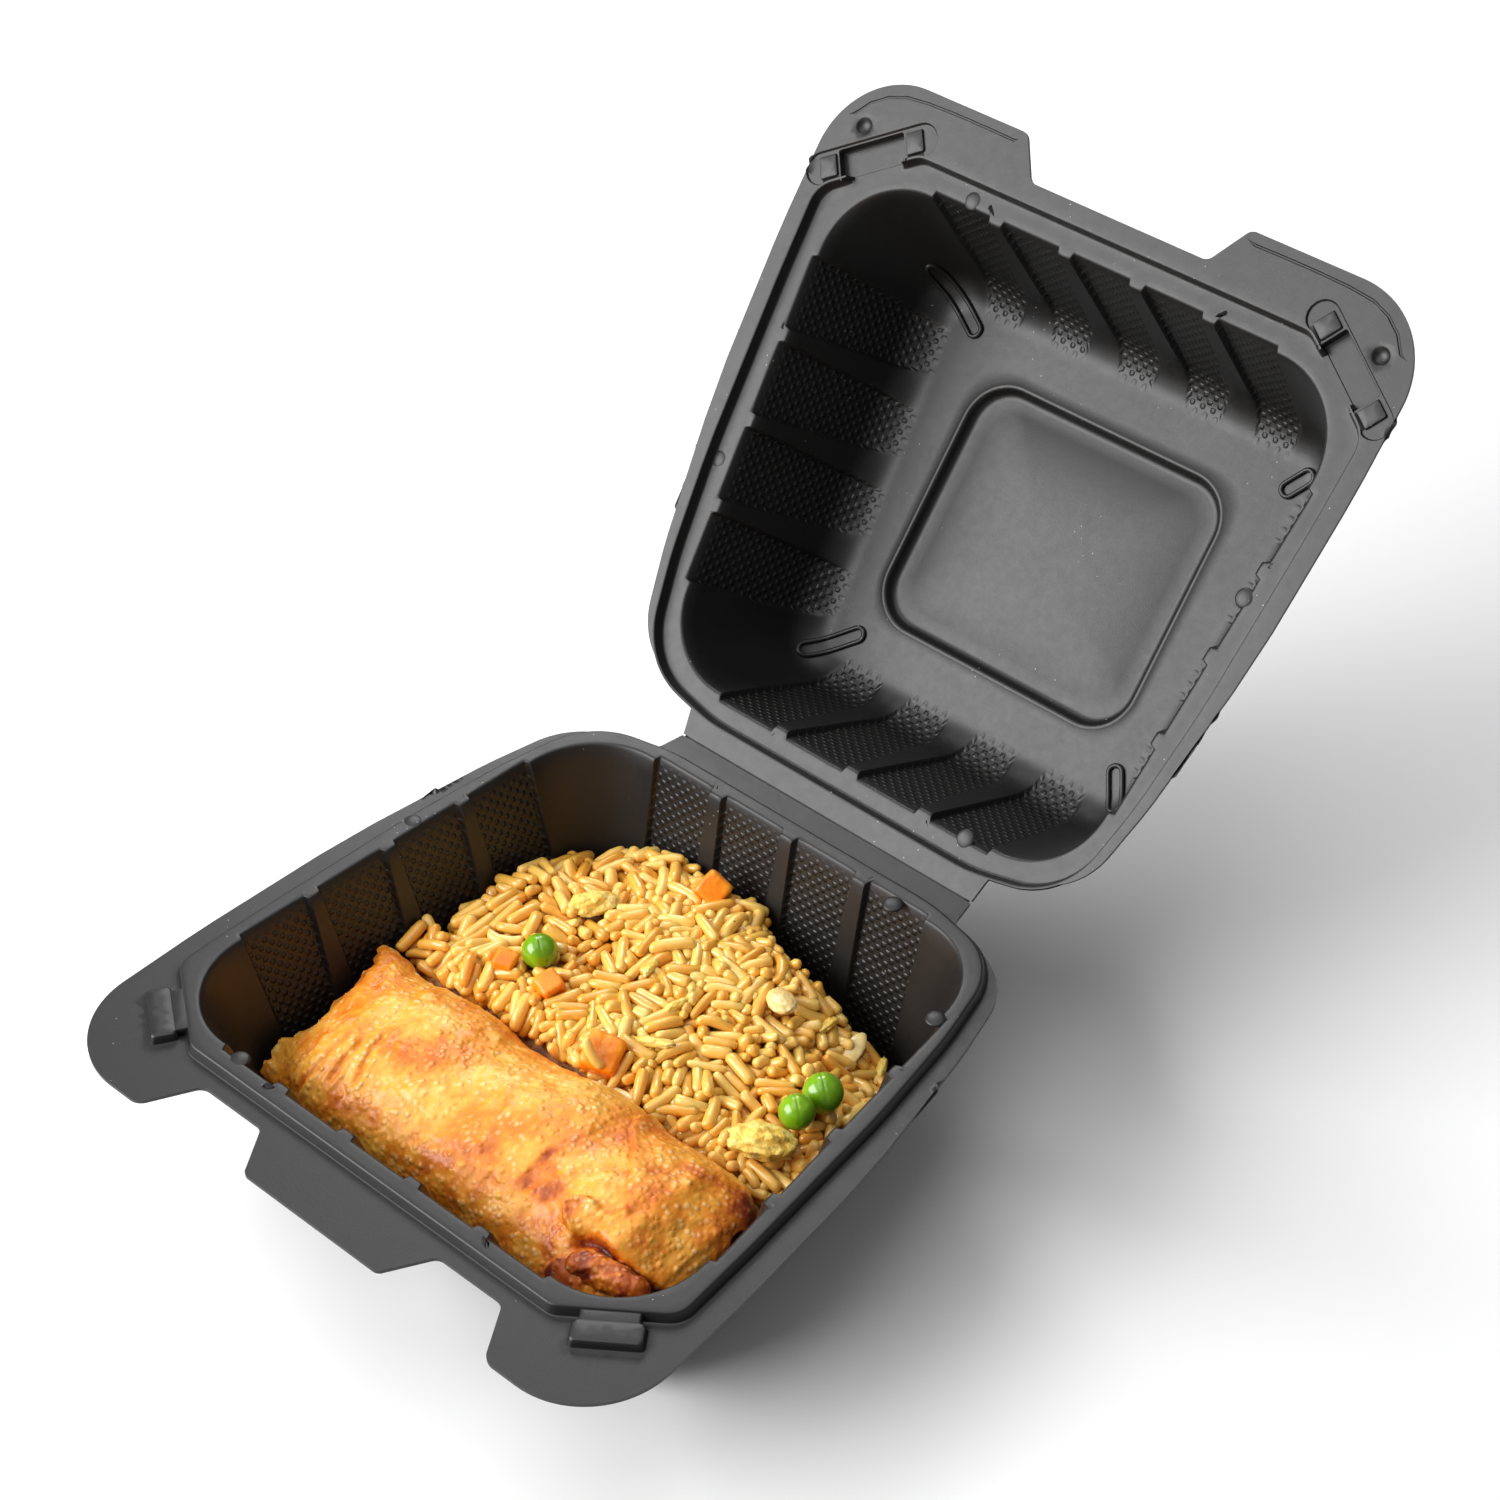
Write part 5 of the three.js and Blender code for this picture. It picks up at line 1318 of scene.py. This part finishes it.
def turned(points, turn_x, turn_y, turn_z):
    """Points turned about X, then Y, then Z, in degrees."""
    matrix = np.eye(3)
    for axis, degrees in enumerate((turn_x, turn_y, turn_z)):
        c, s = math.cos(math.radians(degrees)), math.sin(math.radians(degrees))
        i, j = (axis + 1) % 3, (axis + 2) % 3
        step = np.eye(3)
        step[i, i], step[i, j], step[j, i], step[j, j] = c, -s, s, c
        matrix = step @ matrix
    return points @ matrix.T


def topping_finish(name, cloud, stops, surface, scatter, bump):
    """A moist topping: cloudy colour, some light passing through, and a fine relief."""
    f = Finish(name)
    cloud = f.noise(*cloud)
    relief, depth, strength = bump
    height = f.noise(*relief) if relief else cloud
    share, radius = scatter
    return f.set(Base_Color=f.ramp(cloud, stops), Subsurface_Weight=share, Subsurface_Radius=radius,
                 Subsurface_Scale=0.5, Normal=f.bump(height, depth, strength), **surface)


def topping_finishes():
    pea = topping_finish("green pea skin", (150, 4),
                         ((0.25, (0.1, 0.24, 0.001)), (0.55, (0.17, 0.38, 0.002)),
                          (0.8, (0.3, 0.5, 0.006))),
                         {"Roughness": 0.24, "Coat_Weight": 0.5, "Coat_Roughness": 0.08},
                         (0.2, (0.002, 0.004, 0.001)), ((700, 3), 0.00008, 0.6))
    carrot = topping_finish("cooked carrot", (260, 4),
                            ((0.2, (0.85, 0.17, 0.001)), (0.5, (0.94, 0.27, 0.003)),
                             (0.8, (0.97, 0.38, 0.012))),
                            {"Roughness": 0.36, "Coat_Weight": 0.15, "Coat_Roughness": 0.12},
                            (0.08, (0.005, 0.0015, 0.0005)), ((800, 4), 0.00018, 0.8))
    egg = topping_finish("scrambled egg curd", (340, 5, 0.65),
                         ((0.3, (0.8, 0.4, 0.035)), (0.5, (0.92, 0.6, 0.1)), (0.7, (0.96, 0.76, 0.28))),
                         {"Roughness": 0.4}, (0.25, (0.004, 0.003, 0.001)), (None, 0.0011, 0.9))
    onion = topping_finish("cooked onion", (300, 4), ((0.3, (0.8, 0.5, 0.13)), (0.7, (0.92, 0.72, 0.34))),
                           {"Roughness": 0.28, "Coat_Weight": 0.3},
                           (0.3, (0.004, 0.003, 0.0015)), (None, 0.0003, 0.7))
    return {"pea": pea, "carrot": carrot, "egg": egg, "onion": onion}


def topping_shape(kind, size, number):
    """A pea, a diced carrot, a layered egg curd or an onion slice about its own middle."""
    points, faces = ball(size, 40, 56)
    if kind == "pea":
        x, y, upper = points[:, 0], points[:, 1], points[:, 2] > 0
        dent = bell(np.hypot(x - 0.4 * size, y), 0.3 * size) * upper
        wrinkle = bell(x * 0.6 + y * 0.8, 0.07 * size) * upper
        points *= (1 - 0.06 * dent - 0.025 * wrinkle + 0.012 * bumps(points, 2.4, number))[:, None]
    elif kind == "carrot":
        ways = np.abs(points / size)
        points = points * 0.8 / ((ways ** 7).sum(1) ** (1 / 7))[:, None]
        points *= (1 + 0.035 * bumps(points, 2.5, number) + 0.012 * bumps(points, 0.8, number))[:, None]
    elif kind == "egg":
        layers = np.sin(points[:, 2] * 3.1 / size * 2.2 + 1.5 * bumps(points, 2.8, number))
        points = points * (1 + 0.2 * bumps(points, 2.0, number + 3, 4) + 0.09 * layers)[:, None]
        points *= [1.2, 0.72, 0.5]
    else:
        points = points * (1 + 0.08 * bumps(points, 1.7, number + 3))[:, None]
        points[:, 2] += 0.9 * (points[:, 0] / size) ** 2
        points *= [1, 0.72, 0.32]
    return points, faces


def make_shreds(name, shreds, kind, material, table):
    """Small strips of egg or onion lying on the rice."""
    parts = []
    for number, (start, end, width) in enumerate(shreds):
        start, end = np.array(start), np.array(end)
        middle, run = (start + end) / 2, end - start
        length = np.linalg.norm(run)
        points, faces = ball(1.0, 16, 22)
        if kind == "egg":
            points *= (1 + 0.3 * bumps(points, 0.5, number + 11.0, 4))[:, None]
        else:
            points *= (1 + 0.1 * bumps(points, 0.7, number + 5.0))[:, None]
        points *= [length / 2 + 0.5, width / 2, 0.9 if kind == "egg" else 0.6]
        points = turned(points, 12 - 8 * number, 6 * number - 8, math.degrees(math.atan2(run[1], run[0])))
        level = heap_level(middle[0], middle[1], table)[0] + 0.3
        parts.append((points + [middle[0], middle[1], level], faces, np.full(len(points), number / 5)))
    piece = joined_piece(name, parts, "tone", material)
    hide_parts("rice_heap")
    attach(piece, "tray")


def make_toppings(table):
    finishes = topping_finishes()
    for number, (name, (x, y, z, size, turn)) in enumerate(TOPPINGS.items()):
        kind = name.split("_")[0]
        points, faces = topping_shape(kind, size, number)
        piece = mesh_object(name + "_cooked", turned(points, *turn) + [x, y, z], faces, finishes[kind])
        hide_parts(name)
        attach(piece, "tray")
    make_shreds("egg_shreds", EGG_SHREDS, "egg", finishes["egg"], table)
    make_shreds("onion_shreds", ONION_SHREDS, "onion", finishes["onion"], table)


heap_table = heap_reach()
make_egg_roll()
make_rice(heap_table)
make_toppings(heap_table)


# Hinge

WEB_HALF_WIDTH = 39.6
WEB_HALF_SHEET = 0.17
WEB_REACH = (0.08, 0.22, 0.45, 1.2, 2.2)


def make_hinge_web():
    """The thinned strip of sheet that joins both flanges along the fold."""
    edge = HINGE_Y - HINGE_GAP
    on_tray = [(edge - reach, FLANGE_TOP - SHEET / 2) for reach in reversed(WEB_REACH)]
    on_lid = lid_to_world(np.array([[0.0, edge - reach, -HINGE_GAP - SHEET / 2] for reach in WEB_REACH]))
    middle = np.concatenate([on_tray, on_lid[:, 1:]])
    along = units(np.gradient(middle, axis=0))
    across = np.column_stack([-along[:, 1], along[:, 0]])
    profile = np.concatenate([middle + across * WEB_HALF_SHEET, (middle - across * WEB_HALF_SHEET)[::-1]])
    stations = np.linspace(-WEB_HALF_WIDTH, WEB_HALF_WIDTH, 60)
    points = np.array([(x, y, z) for x in stations for y, z in profile])
    size = len(stations), len(profile)
    faces = tube_faces(*size) + [face[::-1] for face in end_faces(*size)]
    web = mesh_object("hinge_web", points, faces, plastic)
    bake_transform(web)


make_hinge_web()

# Camera at the photograph's viewpoint
AZIMUTH, ELEVATION, ROLL = (math.radians(a) for a in (44.2606, 41.8527, -2.9269))
CAMERA_SHIFT = np.array([31.4414, 49.4877, 703.4807])
FOCAL_PIXELS = 3529.05
PHOTO_PIXELS = 1500
SENSOR_WIDTH = 36
FLOOR_HALF = 4000


def aimed(thing, axes, place):
    """Puts a camera or lamp into the scene at a place, along three axes."""
    matrix = Matrix.Identity(4)
    for column, axis in enumerate((*axes, place)):
        for row in range(3):
            matrix[row][column] = axis[row]
    thing.matrix_world = matrix
    bpy.context.scene.collection.objects.link(thing)


def make_camera():
    back = np.array([math.sin(AZIMUTH) * math.cos(ELEVATION), -math.cos(AZIMUTH) * math.cos(ELEVATION),
                     math.sin(ELEVATION)])
    right = np.array([math.cos(AZIMUTH), math.sin(AZIMUTH), 0])
    up = np.cross(back, right)
    turned = right * math.cos(ROLL) + up * math.sin(ROLL)
    upright = up * math.cos(ROLL) - right * math.sin(ROLL)
    rows = np.array([turned, upright, back])
    place = (rows.T @ CAMERA_SHIFT + [0, 0, FLANGE_TOP]) * MM
    lens = bpy.data.cameras.new("photograph camera")
    lens.sensor_width = SENSOR_WIDTH
    lens.lens = SENSOR_WIDTH * FOCAL_PIXELS / PHOTO_PIXELS
    lens.clip_start = 0.01
    lens.clip_end = 50
    camera = bpy.data.objects.new("photograph camera", lens)
    aimed(camera, (turned, upright, back), place)
    bpy.context.scene.camera = camera


def softbox(name, place, aim, size, power):
    light = bpy.data.lights.new(name, "AREA")
    light.shape = "RECTANGLE"
    light.size, light.size_y = size
    light.energy = power
    lamp = bpy.data.objects.new(name, light)
    back = unit(np.array(place, float) - np.array(aim, float))
    side = unit(np.cross([0, 0, 1.0], back))
    top = np.cross(back, side)
    aimed(lamp, (side, top, back), place)


def make_studio():
    f = Finish("pale studio floor")
    corners = [(x * FLOOR_HALF, y * FLOOR_HALF, 0) for x, y in ((-1, -1), (1, -1), (1, 1), (-1, 1))]
    pale = f.set(Base_Color=(0.9, 0.9, 0.9), Roughness=0.9)
    floor = mesh_object("studio_floor", corners, [(0, 1, 2, 3)], pale)
    world = bpy.data.worlds.new("studio")
    world.use_nodes = True
    background = world.node_tree.nodes["Background"].inputs
    background["Color"].default_value = (1, 1, 1, 1)
    background["Strength"].default_value = 0.23
    bpy.context.scene.world = world
    middle = (0, 0.04, 0.04)
    softbox("front left softbox", (-0.68, -0.88, 0.72), middle, (1.2, 0.9), 29)
    softbox("overhead softbox", (-0.1, 0.0, 1.3), middle, (1.2, 1.0), 6)
    softbox("back left softbox", (-0.5, 0.5, 0.6), (-0.05, 0, 0.04), (0.35, 0.35), 3)
    bpy.context.scene.view_settings.view_transform = "Standard"


make_camera()
make_studio()
